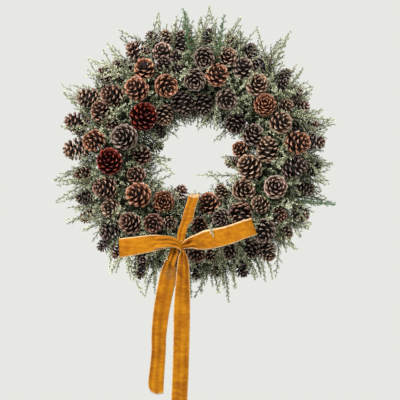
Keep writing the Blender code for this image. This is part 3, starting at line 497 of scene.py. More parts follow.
def cone_finish(tone):
    deep, body, rim = TONES[tone]
    middle = tuple(0.5 * (a + b) for a, b in zip(body, rim))
    if tone == "red":
        finish = Finish("cone_red", Roughness=0.30, Coat_Weight=0.6, Coat_Roughness=0.22)
    else:
        finish = Finish("cone_" + tone, Roughness=0.44)
    streaks = finish.noise(420.0)
    edge = finish.add(finish.value("rim"), finish.span(streaks, 0.3, 0.7, -0.42, 0.18), True)
    # The lower part of each scale takes the deep colour: painted shade between the scales.
    finish.shade = finish.ramp(
        finish.value("along"), (0.0, deep), (0.60, deep), (0.84, body), (1.0, body))
    # The pale rims: weathered tips, partly a painted highlight.
    finish.over(edge, rim)
    finish.over(finish.span(finish.value("grain"), 0.0, 1.0, 0.0, 0.50), deep)
    finish.over(finish.span(finish.noise(160.0, 2.0), 0.58, 0.72, 0.0, 0.2), middle)
    if tone == "red":
        # Painted highlight of the gloss, in patches along the rims.
        patches = finish.span(finish.noise(45.0, 1.0), 0.54, 0.66)
        finish.over(finish.times(edge, patches, True), PAINTED_HIGHLIGHT_RED)
    finish.bump(streaks, 0.5, 0.0006)
    return finish.done()


def juniper_finish():
    finish = Finish("juniper", Roughness=0.66)
    age_and_shade = finish.add(finish.value("along"), finish.span(finish.value("grain"), 0, 1, -0.20, 0.24))
    age_and_shade = finish.add(age_and_shade, finish.span(finish.noise(55.0, 2.0), 0.3, 0.7, -0.16, 0.18), True)
    finish.shade = finish.ramp(
        age_and_shade, (0.0, (0.012, 0.016, 0.008)), (0.30, (0.064, 0.080, 0.040)),
        (0.62, (0.275, 0.325, 0.185)), (1.0, (0.85, 0.87, 0.62)))
    finish.over(finish.value("rim"), (0.028, 0.150, 0.036))
    return finish.done()


def twig_finish():
    finish = Finish("juniper_stem", Roughness=0.75)
    finish.shade = finish.ramp(finish.noise(300.0), (0.3, (0.10, 0.065, 0.035)), (0.7, (0.24, 0.20, 0.11)))
    return finish.done()


def velvet_finish():
    finish = Finish("velvet", Roughness=0.85, Sheen_Weight=0.16, Sheen_Roughness=0.4,
                    Sheen_Tint=(1.0, 0.55, 0.12), Specular_IOR_Level=0.15)
    finish.shade = finish.ramp(
        finish.noise(42.0, 4.0), (0.30, (0.33, 0.100, 0.002)), (0.48, (0.42, 0.142, 0.002)),
        (0.66, (0.55, 0.210, 0.004)))
    pile = finish.noise(900.0, 2.0)
    finish.over(finish.span(pile, 0.35, 0.65, 0.0, 0.18), (0.27, 0.075, 0.002))
    crushed = finish.noise(150.0, 3.0, (0.6, 1.0, 1.5))
    finish.over(finish.span(crushed, 0.50, 0.68, 0.0, 0.45), (0.62, 0.25, 0.004))
    finish.over(finish.span(crushed, 0.48, 0.34, 0.0, 0.20), (0.24, 0.065, 0.001))
    # Darker in the creases and pushed-in dents: painted shade.
    finish.over(finish.times(finish.value("along"), 0.75, True), (0.15, 0.035, 0.001))
    worn = finish.times(finish.value("grain"), finish.span(finish.noise(230.0), 0.36, 0.56, 0.2, 1.0))
    finish.over(worn, (0.26, 0.115, 0.030))
    frayed = finish.span(finish.noise(350.0), 0.30, 0.55, 0.25, 1.0)
    # The cream of the hems, which also paints the sling's highlight where it turns pale in the light.
    hem = finish.times(finish.span(finish.value("rim"), 0.86, 0.97), frayed, True)
    finish.over(hem, (0.82, 0.60, 0.34))
    finish.bump(finish.add(finish.times(crushed, 4.0), pile), 0.45, 0.0006)
    return finish.done()


def straw_finish():
    finish = Finish("straw", Roughness=0.8)
    stalks = finish.add(finish.times(finish.value("rim"), 0.7), finish.times(finish.noise(90.0, 5.0), 0.3))
    fine = finish.noise(700.0, 2.0)
    finish.shade = finish.ramp(
        stalks, (0.30, (0.20, 0.125, 0.045)), (0.50, (0.42, 0.30, 0.13)), (0.70, (0.62, 0.48, 0.24)))
    # Darker where the wire presses the straw in: a painted shadow line along the wire.
    finish.over(finish.span(finish.value("along"), 0.15, 0.9, 0.0, 0.75), (0.085, 0.052, 0.018))
    # The front of the straw is nearly black: dark moss, with painted shade between the cones and sprigs.
    moss_and_shade = finish.ramp(fine, (0.35, (0.010, 0.013, 0.007)), (0.65, (0.045, 0.050, 0.026)))
    finish.over(finish.span(finish.value("grain"), 0.3, 0.9, 0.0, 0.96), moss_and_shade)
    finish.bump(finish.add(stalks, fine), 0.6, 0.0012)
    return finish.done()


def wire_finish():
    finish = Finish("wire", Roughness=0.42, Metallic=0.75)
    finish.shade = finish.ramp(
        finish.noise(900.0), (0.35, (0.05, 0.075, 0.045)), (0.65, (0.13, 0.17, 0.11)))
    finish.bump(finish.noise(1500.0), 0.2, 0.0002)
    return finish.done()


def floor_finish():
    finish = Finish("floor", Roughness=0.8)
    finish.shade = finish.ramp(finish.noise(3.0), (0.3, (0.58, 0.58, 0.565)), (0.7, (0.62, 0.62, 0.605)))
    return finish.done()


# Cones

CONE_SPHERES = ((-0.4, 0.9), (0.0, 1.0), (0.4, 0.9))
CONE_CLEARANCE = 0.7
RING_CLEARANCE = 1.0
SETTLE_ROUNDS = 260
HOMING_ROUNDS = 0.75 * SETTLE_ROUNDS
HOMING = (0.10, 0.04, 0.10)
CONE_PUSH = 0.25
RIBBON_PUSH = 0.4
RING_PUSH = 0.6
SLING_REACH = 9.0
LOOP_REACH = 3.0
KNOT_REACH = 13.0
LOOP_SPACING = 6.0
TAIL_SPACING = 8.0
TAIL_SPREAD = 0.35
IN_FRONT = -8.0


def home_of(cone):
    """Where a cone's middle would lie on the rounded front of the wreath."""
    off = math.hypot(cone.x, cone.z) - RING_RADIUS
    facing = math.cos(math.radians(cone.lean))
    reach = RING_DEPTH + RING_CLEARANCE + cone.radius * (1.0 + 0.25 * facing)
    depth = math.sqrt(max(reach ** 2 - off ** 2, 0.0))
    depth = max(depth - cone.back, cone.radius + RING_CLEARANCE)
    return np.array([cone.x, -depth, cone.z], float)


def push_off_ring(points, wanted):
    """Moves that take points off the ring and the wall, to the wanted distances."""
    flat = np.hypot(points[:, 0], points[:, 2])
    off = flat - RING_RADIUS
    reach = np.maximum(np.hypot(off, points[:, 1]), TINY)
    lack = np.clip(RING_DEPTH + wanted - reach, 0, None)
    outward = off / reach * lack / flat
    moves = np.column_stack([points[:, 0] * outward, points[:, 1] / reach * lack,
                             points[:, 2] * outward])
    moves[:, 1] -= np.clip(points[:, 1] + wanted, 0, None)
    return moves


def push_apart(points, others, wanted):
    """Moves that take points away from the others that are nearer than wanted."""
    apart = points[:, None] - others[None]
    distance = np.maximum(np.linalg.norm(apart, axis=2), TINY)
    lack = np.clip(wanted - distance, 0, None)
    return np.sum(apart / distance[..., None] * lack[..., None], axis=1)


def settle(keep_clear):
    """Places for the cones, pushed apart until no two touch, and their axes."""
    homes = np.array([home_of(cone) for cone in CONES])
    axes = np.array([facing(math.radians(cone.turn), math.radians(cone.lean)) for cone in CONES])
    steps, sizes = np.array(CONE_SPHERES).T
    along = (axes[:, None] * steps[:, None] * CONE_RADII[:, None, None]).reshape(-1, 3)
    owner = np.repeat(np.arange(len(CONES)), len(CONE_SPHERES))
    ball = (CONE_RADII[:, None] * sizes).reshape(-1)
    wanted = ball[:, None] + ball[None, :] + CONE_CLEARANCE
    wanted = np.where(owner[:, None] != owner[None, :], wanted, 0.0)
    wanted_clear = ball[:, None] + keep_clear[None, :, 3] + CONE_CLEARANCE
    places = homes.copy()
    for turn in range(SETTLE_ROUNDS):
        centres = places[owner] + along
        moves = push_apart(centres, centres, wanted) * CONE_PUSH
        moves += push_apart(centres, keep_clear[:, :3], wanted_clear) * RIBBON_PUSH
        moves += push_off_ring(centres, ball + RING_CLEARANCE) * RING_PUSH
        shift = np.zeros_like(places)
        np.add.at(shift, owner, moves)
        if turn < HOMING_ROUNDS:
            shift += (homes - places) * HOMING
        places += shift
    return places, axes


def cone_spheres(places, axes):
    return np.array([
        (*(place + axis * step * radius), size * radius)
        for radius, place, axis in zip(CONE_RADII, places, axes) for step, size in CONE_SPHERES])


def ribbon_spheres():
    """Spheres along the ribbon that the cones and sprigs keep clear of."""
    rows = []
    for points, size in ((SLING, SLING_REACH), (LEFT_LOOP, LOOP_REACH), (RIGHT_LOOP, LOOP_REACH)):
        rows += [(*row[:3], size) for row in smooth_path(points, LOOP_SPACING) if row[1] < IN_FRONT]
    for points in (LEFT_TAIL, RIGHT_TAIL):
        for x, y, z, width in smooth_path(points, TAIL_SPACING):
            rows += [(x + side * width * TAIL_SPREAD, y, z, LOOP_REACH) for side in (-1, 0, 1)]
    rows.append((*KNOT_CENTRE, KNOT_REACH))
    return np.array(rows)


# A scale's outline: how far along it each row of corners lies, its half width and half thickness
# there, in the cone's radii, and the corners of its section across and through.
SCALE_ROWS = np.array([0.0, 0.50, 0.78, 0.89, 0.975, 1.03])
SCALE_WIDTHS = np.array([0.06, 0.185, 0.245, 0.262, 0.220, 0.10])
SCALE_THICKNESSES = np.array([0.02, 0.022, 0.034, 0.092, 0.085, 0.020])
SCALE_SECTION = np.array([(-1.0, 0.1), (-0.45, 0.62), (0.45, 0.62), (1.0, 0.1), (0.0, -1.0)])
# How pale each corner of the section is at the scale's end, least underneath: weathered tips, partly a
# painted highlight.
SCALE_PALENESS_AND_HIGHLIGHT = np.array([1.0, 0.85, 0.85, 1.0, 0.5])
SCALE_CURL = 0.10
SCALE_FOOT = 0.10
FULL_RADIUS = 18
CONE_SHOWN = 1.05
CONE_SEED = 7
OUTLINE_SWEEP = 152.0

# Each form's number of scales, their opening from the axis in degrees at base, lower middle, upper
# middle and tip, their width, how far from the tip the last one sits, in degrees of the cone's
# outline, and how far along a scale its pale end begins.
Form = namedtuple("Form", "scales opening width last edge")
FORMS = {
    "open": Form(50, (112, 96, 72, 16), 0.92, 6.0, 0.84),
    "rosette": Form(60, (104, 86, 58, 12), 1.08, 5.0, 0.86),
    "tight": Form(74, (98, 78, 52, 10), 0.82, 5.0, 0.86),
    "rose": Form(84, (88, 62, 34, 5), 1.18, 5.0, 0.90),
    "bowl": Form(50, (112, 96, 80, 44), 1.10, 34.0, 0.82),
}
OPENING_PLACES = (0.0, 0.3, 0.7, 1.0)


def scale_curves(form, leaning, share, jitter):
    """How far up the axis and out from it each scale lies, at each row of its outline, in the cone's
    radii. The cone is longer where it leans."""
    polar = np.radians(form.last + (OUTLINE_SWEEP - form.last) * (1 - share) ** 0.78)
    slim = np.where(polar < math.pi / 2, 1.22 + 0.18 * leaning, 1.0)
    end_rise = slim * np.cos(polar) + jitter[:, 1] * 0.045
    end_reach = np.sin(polar) ** 0.9 * (1.0 + 0.05 * jitter[:, 2])
    opening = np.radians(np.interp(share, OPENING_PLACES, form.opening) + jitter[:, 3] * 7)
    start_rise = np.clip(end_rise - (end_reach - SCALE_FOOT) / np.tan(opening), -0.95, 0.85)
    bend_rise = start_rise + 0.12 * (end_rise - start_rise)
    bend_reach = SCALE_FOOT + 0.62 * (end_reach - SCALE_FOOT)
    rise = bow(SCALE_ROWS, start_rise[:, None], bend_rise[:, None], end_rise[:, None])
    reach = bow(SCALE_ROWS, SCALE_FOOT, bend_reach[:, None], end_reach[:, None])
    return rise, reach, end_reach


def scales(stock, cone, place, axis, spin, draw, finish):
    """The scales of a cone, set along a spiral from its base to its tip. A cone that leans has more
    and wider scales."""
    form = FORMS[cone.form]
    leaning = math.sin(math.radians(cone.lean))
    aside = leaning ** 2
    grown = 0.62 + 0.38 * min(cone.radius, FULL_RADIUS) / FULL_RADIUS
    count = round(form.scales * grown * (1.0 + 0.42 * aside))
    number = np.arange(count)
    share = (number + 0.5) / count
    jitter = np.array([[draw.uniform(-1, 1) for column in range(4)] for row in range(count)])
    turn = spin + number * GOLDEN_TURN + jitter[:, 0] * 0.05
    u = unit(np.cross(axis, (0.83, 0.21, 0.52)))
    v = np.cross(axis, u)
    out = np.cos(turn)[:, None] * u + np.sin(turn)[:, None] * v
    side = -np.sin(turn)[:, None] * u + np.cos(turn)[:, None] * v
    rise, reach, end_reach = scale_curves(form, leaning, share, jitter)
    rise_way, reach_way = np.gradient(rise, axis=1), np.gradient(reach, axis=1)
    length = np.maximum(np.hypot(rise_way, reach_way), TINY)
    face_rise, face_reach = reach_way / length, -rise_way / length
    full = ((0.45 + 0.55 * end_reach) * form.width * (1.0 + 0.10 * aside))[:, None, None]
    thickness = (0.55 + 0.45 * end_reach)[:, None, None]
    across, through = SCALE_SECTION.T
    widths = SCALE_WIDTHS[:, None]
    curl = SCALE_CURL * across ** 2 * full * widths / SCALE_WIDTHS.max()
    offset = SCALE_THICKNESSES[:, None] * thickness * through + curl
    wide = widths * full * across
    corners = (place + cone.radius * CONE_SHOWN * (
        (rise[..., None] + face_rise[..., None] * offset)[..., None] * axis
        + (reach[..., None] + face_reach[..., None] * offset)[..., None] * out[:, None, None]
        + wide[..., None] * side[:, None, None]))
    rows, sides = len(SCALE_ROWS), len(SCALE_SECTION)
    shape = (count, rows, sides)
    starts = number * rows * sides
    faces = (net_faces(rows, sides, True)[None] + starts[:, None, None]).reshape(-1, 4)
    at_end = np.clip((SCALE_ROWS - form.edge) / 0.12, 0, 1)[:, None]
    at_side = np.clip((SCALE_ROWS - 0.55) / 0.30, 0, 1)[:, None] * (np.abs(across) > 0.9)
    rim = np.maximum(at_end * SCALE_PALENESS_AND_HIGHLIGHT, at_side * 0.6)
    grain = np.array([draw.random() ** 1.5 for row in range(count)])[:, None, None]
    along, rim, grain = (np.broadcast_to(values, shape) for values in (SCALE_ROWS[:, None], rim, grain))
    tips = starts[:, None] + stock.count + (rows - 1) * sides + np.arange(sides)
    stock.add(corners, faces, along, rim, grain, finish)
    stock.add_faces(tips.tolist(), finish)


def spindle(stock, cone, place, axis, finish):
    """The woody middle of a cone."""
    heights = np.array([-1.0, -0.85, -0.4, 0.3, 0.85, 1.1])
    radii = np.array([0.15, 0.44, 0.48, 0.40, 0.22, 0.04]) * cone.radius
    path = place + np.outer(heights * cone.radius, axis)
    # The spindle takes the same painted shade as the deep parts of the scales.
    tube(stock, path, radii, 7, 0.1, 0.0, 0.3, finish)


def build_cones(places, axes, ring):
    """One piece for each cluster, with its cones and the wires that hold them to the ring."""
    finishes = {tone: cone_finish(tone) for tone in TONES}
    wire = wire_finish()
    draw = random.Random(CONE_SEED)
    spins = [draw.uniform(0, math.pi) for cone in CONES]
    settled = iter(zip(places, axes, spins))
    for name, members in CLUSTERS.items():
        stock = Stock()
        tones = sorted({cone.tone for cone in members})
        for cone in members:
            place, axis, spin = next(settled)
            finish = tones.index(cone.tone)
            scales(stock, cone, place, axis, spin, draw, finish)
            spindle(stock, cone, place, axis, finish)
            spot = nearest_on(ring, place)
            tube(stock, [place, 0.5 * (place + spot), spot], 1.0, 5, 0.2, 0.0, 0.5, len(tones))
        lead = max(members, key=lambda cone: cone.radius)
        slot = "cone_brown" if lead.tone == "red_brown" else "cone_" + lead.tone
        stock.piece(name + "_scaled", [finishes[tone] for tone in tones] + [wire], slot, [name])


# Juniper

ROOT_GAP = 0.3
ROOT_RADIUS = 2.3
ROOT_LENGTH = 9.0
ROOT_ROOM = ROOT_RADIUS + 1.2
ROOT_TRIES = (8, 7)
ROOT_STEPS = (1.6, 9)
STEEPEST_ROOT = math.radians(74)
STEM_CLEARANCE = 2.2
SPRIG_CLEARANCE = 3.2
SPRAY_LIFTS = (0.0, 9.0, -9.0, 18.0, 27.0)
SPRAY_BEND = 0.35
SPRAY_POINTS = 24
STIFFNESS = 0.22
BENDING = 0.7
GOOD_MATCH = 1.3
FAIR_MATCH = 4.0
FILL_PIECES = 12
DEEP_FRESH = 0.85
DEEP_AGE = -0.22
HANGING_BELOW = -150
SHADED_ABOVE = 30

Habit = namedtuple("Habit", "twig_spacing twig_length twig_angle whorl_spacing needle_length needle_width")
FEATHERY = Habit(4.8, 14.0, 38.0, 2.4, 4.3, 1.6)
HANGING = Habit(3.1, 9.5, 27.0, 2.2, 4.2, 1.6)
COARSE = Habit(5.0, 15.0, 44.0, 2.9, 5.2, 1.8)
OVERHANGING = Habit(4.0, 5.0, 40.0, 1.7, 3.2, 1.2)
SLENDER = Habit(5.4, 13.5, 41.0, 2.1, 3.5, 1.3)
BARE_HABIT = FEATHERY._replace(twig_length=9.0, twig_spacing=3.6)
BOLD_SHARE = 0.25
MOST_NEEDLED = 0.96
STEM_END = 0.35
STEM_WHORLS = 1.15
TWIG_CURVE = 45.0
TWIG_CURVE_WAY = 22.0
WHORL_NEEDLES = 3
WHORL_TURN = 2.094
BELLY_PLACE = 0.42
BELLY_LIFT = 0.10

# The tone of needles, from 0, old and dark, to 1, young and pale: at a twig's root, what is added
# towards its tip and the sprig's tip, and what is added at distances from the middle of the ring's
# section: needles that lie deep among the cones are darker, partly as old needles and partly as
# painted shade.
ROOT_SHADE = 0.44
TWIG_PALING = 0.38
STEM_PALING = 0.07
DEEP_PLACES = (40.0, 54.0, 68.0)
DEEP_AGE_AND_SHADE = (-0.42, -0.20, 0.0)


def ring_spot(around, tilt, depth=RING_DEPTH - 0.5):
    """A spot at a depth from the middle of the ring's section, and the way out from it."""
    out = facing(around, tilt)
    return RING_RADIUS * straight_out(around) + out * depth, out


def root_spot(place, spheres, ring):
    """The foot and the crown of a root, at the free spot of the ring nearest to a place."""
    best, best_score = None, None
    turn = math.atan2(place[1], place[0])
    off = np.clip(math.hypot(*place) - RING_RADIUS, -RING_DEPTH, RING_DEPTH)
    middle = math.asin(off / RING_DEPTH)
    steps = np.array([0.5, 4.0, 8.0, 12.0])[:, None]
    for i in range(-ROOT_TRIES[0], ROOT_TRIES[0] + 1):
        for j in range(-ROOT_TRIES[1], ROOT_TRIES[1] + 1):
            tilt = middle + math.radians(ROOT_STEPS[1] * j)
            if abs(tilt) > STEEPEST_ROOT:
                continue
            core, out = ring_spot(turn + math.radians(ROOT_STEPS[0] * i), tilt, 0.0)
            points = core + out * (RING_DEPTH + ROOT_GAP + steps)
            room = np.min(np.linalg.norm(points[:, None] - spheres[None, :, :3], axis=2) - spheres[:, 3])
            score = min(room, ROOT_ROOM) * 4 - 0.25 * (abs(i) + abs(j))
            if best is None or score > best_score:
                best, best_score = core + out * (RING_DEPTH + ROOT_LENGTH), score
    nearest = nearest_on(ring, best)
    return nearest + unit(best - nearest) * ROOT_GAP, best


def bend_clear(path, spheres, rounds=90):
    """A path bent until it runs clear of the spheres, the ring and the wall."""
    path = path.copy()
    rows = np.arange(len(path))
    for turn in range(rounds):
        apart = path[:, None] - spheres[None, :, :3]
        distance = np.maximum(np.linalg.norm(apart, axis=2), TINY)
        lack = np.clip(spheres[:, 3] + STEM_CLEARANCE - distance, 0, None)
        worst = np.argmax(lack, axis=1)
        moves = apart[rows, worst] / distance[rows, worst][:, None] * lack[rows, worst][:, None]
        moves += push_off_ring(path, np.full(len(path), STEM_CLEARANCE))
        moves[1:-1] += STIFFNESS * (path[:-2] + path[2:] - 2 * path[1:-1])
        moves[0] = 0
        path += BENDING * moves
    return path


def spray_curve(start, out, end, bend=SPRAY_BEND, points=SPRAY_POINTS):
    middle = start + out * bend * np.linalg.norm(end - start)
    return bow(np.linspace(0, 1, points)[:, None], start, middle, end)


def hanging_curve(root, end, draw):
    """A curve that leaves a root forwards and ends straight down."""
    fall = 0.55 * (root[2] - end[2]) + draw.uniform(0, 8)
    middle = np.array([end[0] + draw.uniform(-3, 3), min(end[1], root[1]) - 3.0, end[2] + fall])
    return bow(np.linspace(0, 1, 14)[:, None], root, middle, end)


def around_way(ways, turns):
    """Directions square to the given ones, turned about them."""
    first = unit(np.cross(ways, (0.42, 0.35, 0.84)))
    second = np.cross(ways, first)
    return np.cos(turns)[..., None] * first + np.sin(turns)[..., None] * second


def needles(stock, spots, ways, shares, stem_shares, habit, fresh, age_and_shade, draw):
    """Whorls of flat pointed needles, four corners each. They are shorter and paler towards the tip
    of a twig, and paler at their own tips."""
    count = len(spots)
    tint = draw.uniform(0, 1)
    roll = draw.uniform(0, FULL_TURN, count)
    depth = np.hypot(np.hypot(spots[:, 0], spots[:, 2]) - RING_RADIUS, spots[:, 1])
    usual = ROOT_SHADE + TWIG_PALING * shares + STEM_PALING * stem_shares + age_and_shade
    # Needles deep among the cones get painted shade on top of their darker, older tone.
    usual = usual + np.interp(depth, DEEP_PLACES, DEEP_AGE_AND_SHADE)
    for needle in range(WHORL_NEEDLES):
        outward = around_way(ways, roll + WHORL_TURN * needle)
        slant = np.radians(draw.uniform(30, 58, count))[:, None]
        aim = unit(np.cos(slant) * ways + np.sin(slant) * outward)
        lengths = habit.needle_length * (1.0 - 0.35 * shares) * draw.uniform(0.75, 1.15, count)
        ages = np.clip(usual + draw.normal(0, 0.15, count), 0, 1)
        turned = unit(np.cross(aim, draw.normal(size=(3, count)).T))
        lifted = np.cross(aim, turned)
        belly = spots + aim * (lengths * BELLY_PLACE)[:, None] + lifted * (BELLY_LIFT * lengths)[:, None]
        half = turned * (habit.needle_width / 2)
        corners = np.stack([spots, belly - half, spots + aim * lengths[:, None], belly + half], axis=1)
        along = np.stack([ages - 0.10, ages, ages + 0.16, ages], axis=1)
        stock.add(corners, np.arange(4 * count).reshape(-1, 4), along, fresh, tint, 0, False)


def clear_of(faces, spots):
    """Which of the spots aren't in front of a cone."""
    if faces is None:
        return np.ones(len(spots), bool)
    flat = np.hypot(spots[:, None, 0] - faces[None, :, 0], spots[:, None, 2] - faces[None, :, 2])
    return ~np.any((flat < 0.9 * faces[None, :, 3]) & (spots[:, None, 1] < faces[None, :, 1]), axis=1)


def sprig(stock, path, needled, draw, habit=FEATHERY, fresh=0.0, age_and_shade=0.0, stem=0.9, faces=None):
    """A sprig along a path: its stem, side twigs by turns round it, and needles on both. Only a few
    sprigs lie over the faces of cones."""
    if draw.random() < BOLD_SHARE:
        faces = None
    fine, along = fine_path(path)
    length = along[-1]
    needled = min(needled, length * MOST_NEEDLED)
    bare = length - needled

    def ahead_at(stations, step):
        return unit(points_at(fine, along, stations + step) - points_at(fine, along, stations - step))

    shown = points_at(fine, along, np.linspace(0, length, max(5, round(length / 9))))
    tube(stock, shown, np.linspace(stem, STEM_END, len(shown)), 3, 0.3, fresh, 0.5, 1)
    stations = np.arange(bare, length - 2.0, habit.twig_spacing)
    count = len(stations)
    stations = stations + draw.uniform(-1.2, 1.2, count)
    starts = points_at(fine, along, stations)
    ahead = ahead_at(stations, 2.0)
    turns = draw.uniform(0, FULL_TURN) + np.arange(count) * GOLDEN_TURN + draw.uniform(-0.3, 0.3, count)
    out = around_way(ahead, turns)
    left = (length - stations) / max(needled, 1.0)
    tapered = 0.28 + 0.72 * np.minimum(1.0, left * 1.5)
    sizes = habit.twig_length * tapered * draw.uniform(0.65, 1.15, count)
    sizes = np.minimum(sizes, length - stations + 7.0)
    angle = np.radians(habit.twig_angle + draw.uniform(-9, 9, count))[:, None]
    way = np.cos(angle) * ahead + np.sin(angle) * out
    bend = 0.35 * ahead + draw.normal(0, 0.16, (count, 3)) + (0, 0, -0.10)
    whorls = int(sizes.max() / habit.whorl_spacing) + 1
    steps = np.arange(1, whorls + 1) * habit.whorl_spacing
    share = steps[None, :] / sizes[:, None]
    reach = steps[None, :, None] * way[:, None] + (steps ** 2)[None, :, None] / TWIG_CURVE * bend[:, None]
    points = starts[:, None] + reach
    tangents = unit(way[:, None] + steps[None, :, None] / TWIG_CURVE_WAY * bend[:, None])
    station_share = np.broadcast_to(((stations - bare) / max(needled, 1.0))[:, None], share.shape)
    kept = (share <= 1.0) & clear_of(faces, points.reshape(-1, 3)).reshape(share.shape)
    for number in range(count):
        rows = np.flatnonzero(kept[number])
        if len(rows) < 2:
            continue
        picked = rows[:: max(1, len(rows) // 2)]
        line = np.vstack([starts[number], points[number, picked], points[number, rows[-1]]])
        tube(stock, line, np.linspace(0.5, 0.25, len(line)), 3, 0.5, fresh, 0.5, 1)
    own = np.arange(bare, length, habit.whorl_spacing * STEM_WHORLS)
    own = own[clear_of(faces, points_at(fine, along, own))]
    own_share = (own - bare) / max(needled, 1.0)
    spots = np.vstack([points[kept], points_at(fine, along, own)])
    ways = np.vstack([tangents[kept], ahead_at(own, 1.5)])
    shares = np.concatenate([share[kept], own_share])
    stem_shares = np.concatenate([station_share[kept], own_share])
    needles(stock, spots, ways, shares, stem_shares, habit, fresh, age_and_shade, draw)


def path_gap(path, tree):
    """How far, on average, a path runs from a surface."""
    return np.mean([tree.find_nearest(Vector(point))[3] for point in path[2:]])


def bunch_paths(crown, out, tips, spheres, tree):
    """The paths of a packed bunch's sprays, found again by the source's rule, and the spheres that
    keep the next bunches off them."""
    sprays, grown = [], []
    start = crown - out * ROOT_RADIUS
    for x, z, front in tips:
        best = None
        for lift in SPRAY_LIFTS:
            end = np.array([x, -front - lift, z], float)
            path = bend_clear(spray_curve(start, out, end), spheres)
            gap = path_gap(path, tree)
            if best is None or gap < best[0]:
                best = (gap, path)
            if gap < GOOD_MATCH:
                break
        sprays.append(best[1])
        if best[0] < FAIR_MATCH:
            fine, along = fine_path(best[1])
            marks = np.linspace(0, along[-1], 10)
            grown += [(*point, SPRIG_CLEARANCE) for point in points_at(fine, along, marks)[1:]]
    return sprays, grown


def near_any(spot, places, reach):
    return any(math.hypot(spot[0] - x, spot[1] - z) < reach for x, z in map(from_photo, places))


def build_bunches(spheres, ring, finishes, draw):
    """One piece for each packed bunch, its sprays feathered with side twigs and needles."""
    for name, (place, *tips) in BUNCHES.items():
        foot, crown = root_spot(place, spheres, ring)
        out = unit(crown - foot)
        sprays, grown = bunch_paths(crown, out, tips, spheres, mesh_tree(name))
        stock = Stock()
        tube(stock, [foot, crown, crown + out * 2], (2.1, 1.7, 0.6), 7, 0.1, 0.0, 0.5, 1)
        for path, tip in zip(sprays, tips):
            deep = near_any(tip[:2], DEEP_GREEN_TIPS, 9.0)
            sprig(stock, path, 96.0, draw, fresh=DEEP_FRESH * deep, age_and_shade=DEEP_AGE * deep, stem=1.2)
        stock.piece(name + "_feathered", finishes, "juniper", [name], True)
        if grown:
            spheres = np.vstack([spheres, grown])


class Fill:
    """The sprigs round and between the bunches, in one stock for each sector of the wreath, with the
    spheres and the cones' faces that they keep clear of."""

    def __init__(self, spheres, faces, draw):
        self.stocks = [Stock() for number in range(FILL_PIECES)]
        self.spheres = spheres
        self.faces = faces
        self.draw = draw

    def stock_at(self, x, z):
        return self.stocks[int((math.atan2(z, x) / (2 * math.pi) % 1.0) * FILL_PIECES) % FILL_PIECES]

    def grow(self, spot, curve, rounds, needled, habit, fresh, age_and_shade):
        """A sprig on a curve, bent clear, which belongs where the spot is."""
        path = bend_clear(curve, self.spheres, rounds)
        sprig(self.stock_at(spot[0], spot[-1]), path, needled, self.draw, habit, fresh, age_and_shade,
              faces=self.faces)


# What a sprig at an edge draws from, when it lies behind the others and when it doesn't: its tilt
# on the ring in degrees and how far its end stands off the wall.
BEHIND_SHARE = 0.7
EDGE_TILTS = {True: (76, 88), False: (58, 80)}
EDGE_DEPTHS = {True: (4, 16), False: (12, 36)}


def edge_sprigs(fill, draw):
    """Sprigs that reach past the outer and inner edges, with shorter ones beside each."""
    for tip in (*OUTER_TIPS, *INNER_TIPS):
        x, z = from_photo(tip)
        inner = tip in INNER_TIPS
        side = -1 if inner else 1
        hanging = z < HANGING_BELOW and not inner
        habit = HANGING if hanging else SLENDER
        for number in range(2 if inner else 3 if hanging else 4):
            shrink = 0.0 if number == 0 else draw.uniform(5, 28)
            behind = draw.random() < BEHIND_SHARE
            aim = np.array([x, z]) + draw.uniform(-11, 11, 2) * (number > 0)
            flat = np.linalg.norm(aim)
            aim = aim * (flat - side * shrink) / flat
            tilt = math.radians(draw.uniform(*EDGE_TILTS[behind])) * side
            turn = math.atan2(aim[1], aim[0]) + draw.uniform(-0.10, 0.10)
            root, out = ring_spot(turn, tilt)
            end = np.array([aim[0], -draw.uniform(*EDGE_DEPTHS[behind]), aim[1]])
            curve = spray_curve(root, out, end, draw.uniform(0.15, 0.4), 14)
            if hanging:
                curve = hanging_curve(root, end, draw)
            if number == 0 and near_any((x, z), DEEP_GREEN_TIPS, 3.0):
                fresh, age_and_shade = DEEP_FRESH, DEEP_AGE
            else:
                fresh = draw.uniform(0.0, 0.10)
                # Inner edge sprigs in the upper half get a lighter painted shadow under the top of the
                # hole.
                age_and_shade = draw.uniform(-0.20, 0.08) - 0.10 * (inner and z > SHADED_ABOVE)
            fill.grow(aim, curve, 24, draw.uniform(50, 76), habit, fresh, age_and_shade)


# Bands of low sprigs: their nearest and farthest end from the wreath's middle, their number, the
# side of the ring that they grow from, and the first and last angle round the wreath in degrees.
LOW_BANDS = (
    (60, 88, 84, -1, 0, 360), (54, 76, 34, -1, 52, 148), (57, 78, 34, -1, 225, 325),
    (168, 214, 164, 1, 0, 360),
)
LOWEST_REACH = 194.0
LEFT_INSIDE_MORE = 14.0
# How much darker inner low sprigs above SHADED_ABOVE are made: a painted shadow under the top of the hole.
HOLE_TOP_SHADOW = 0.24


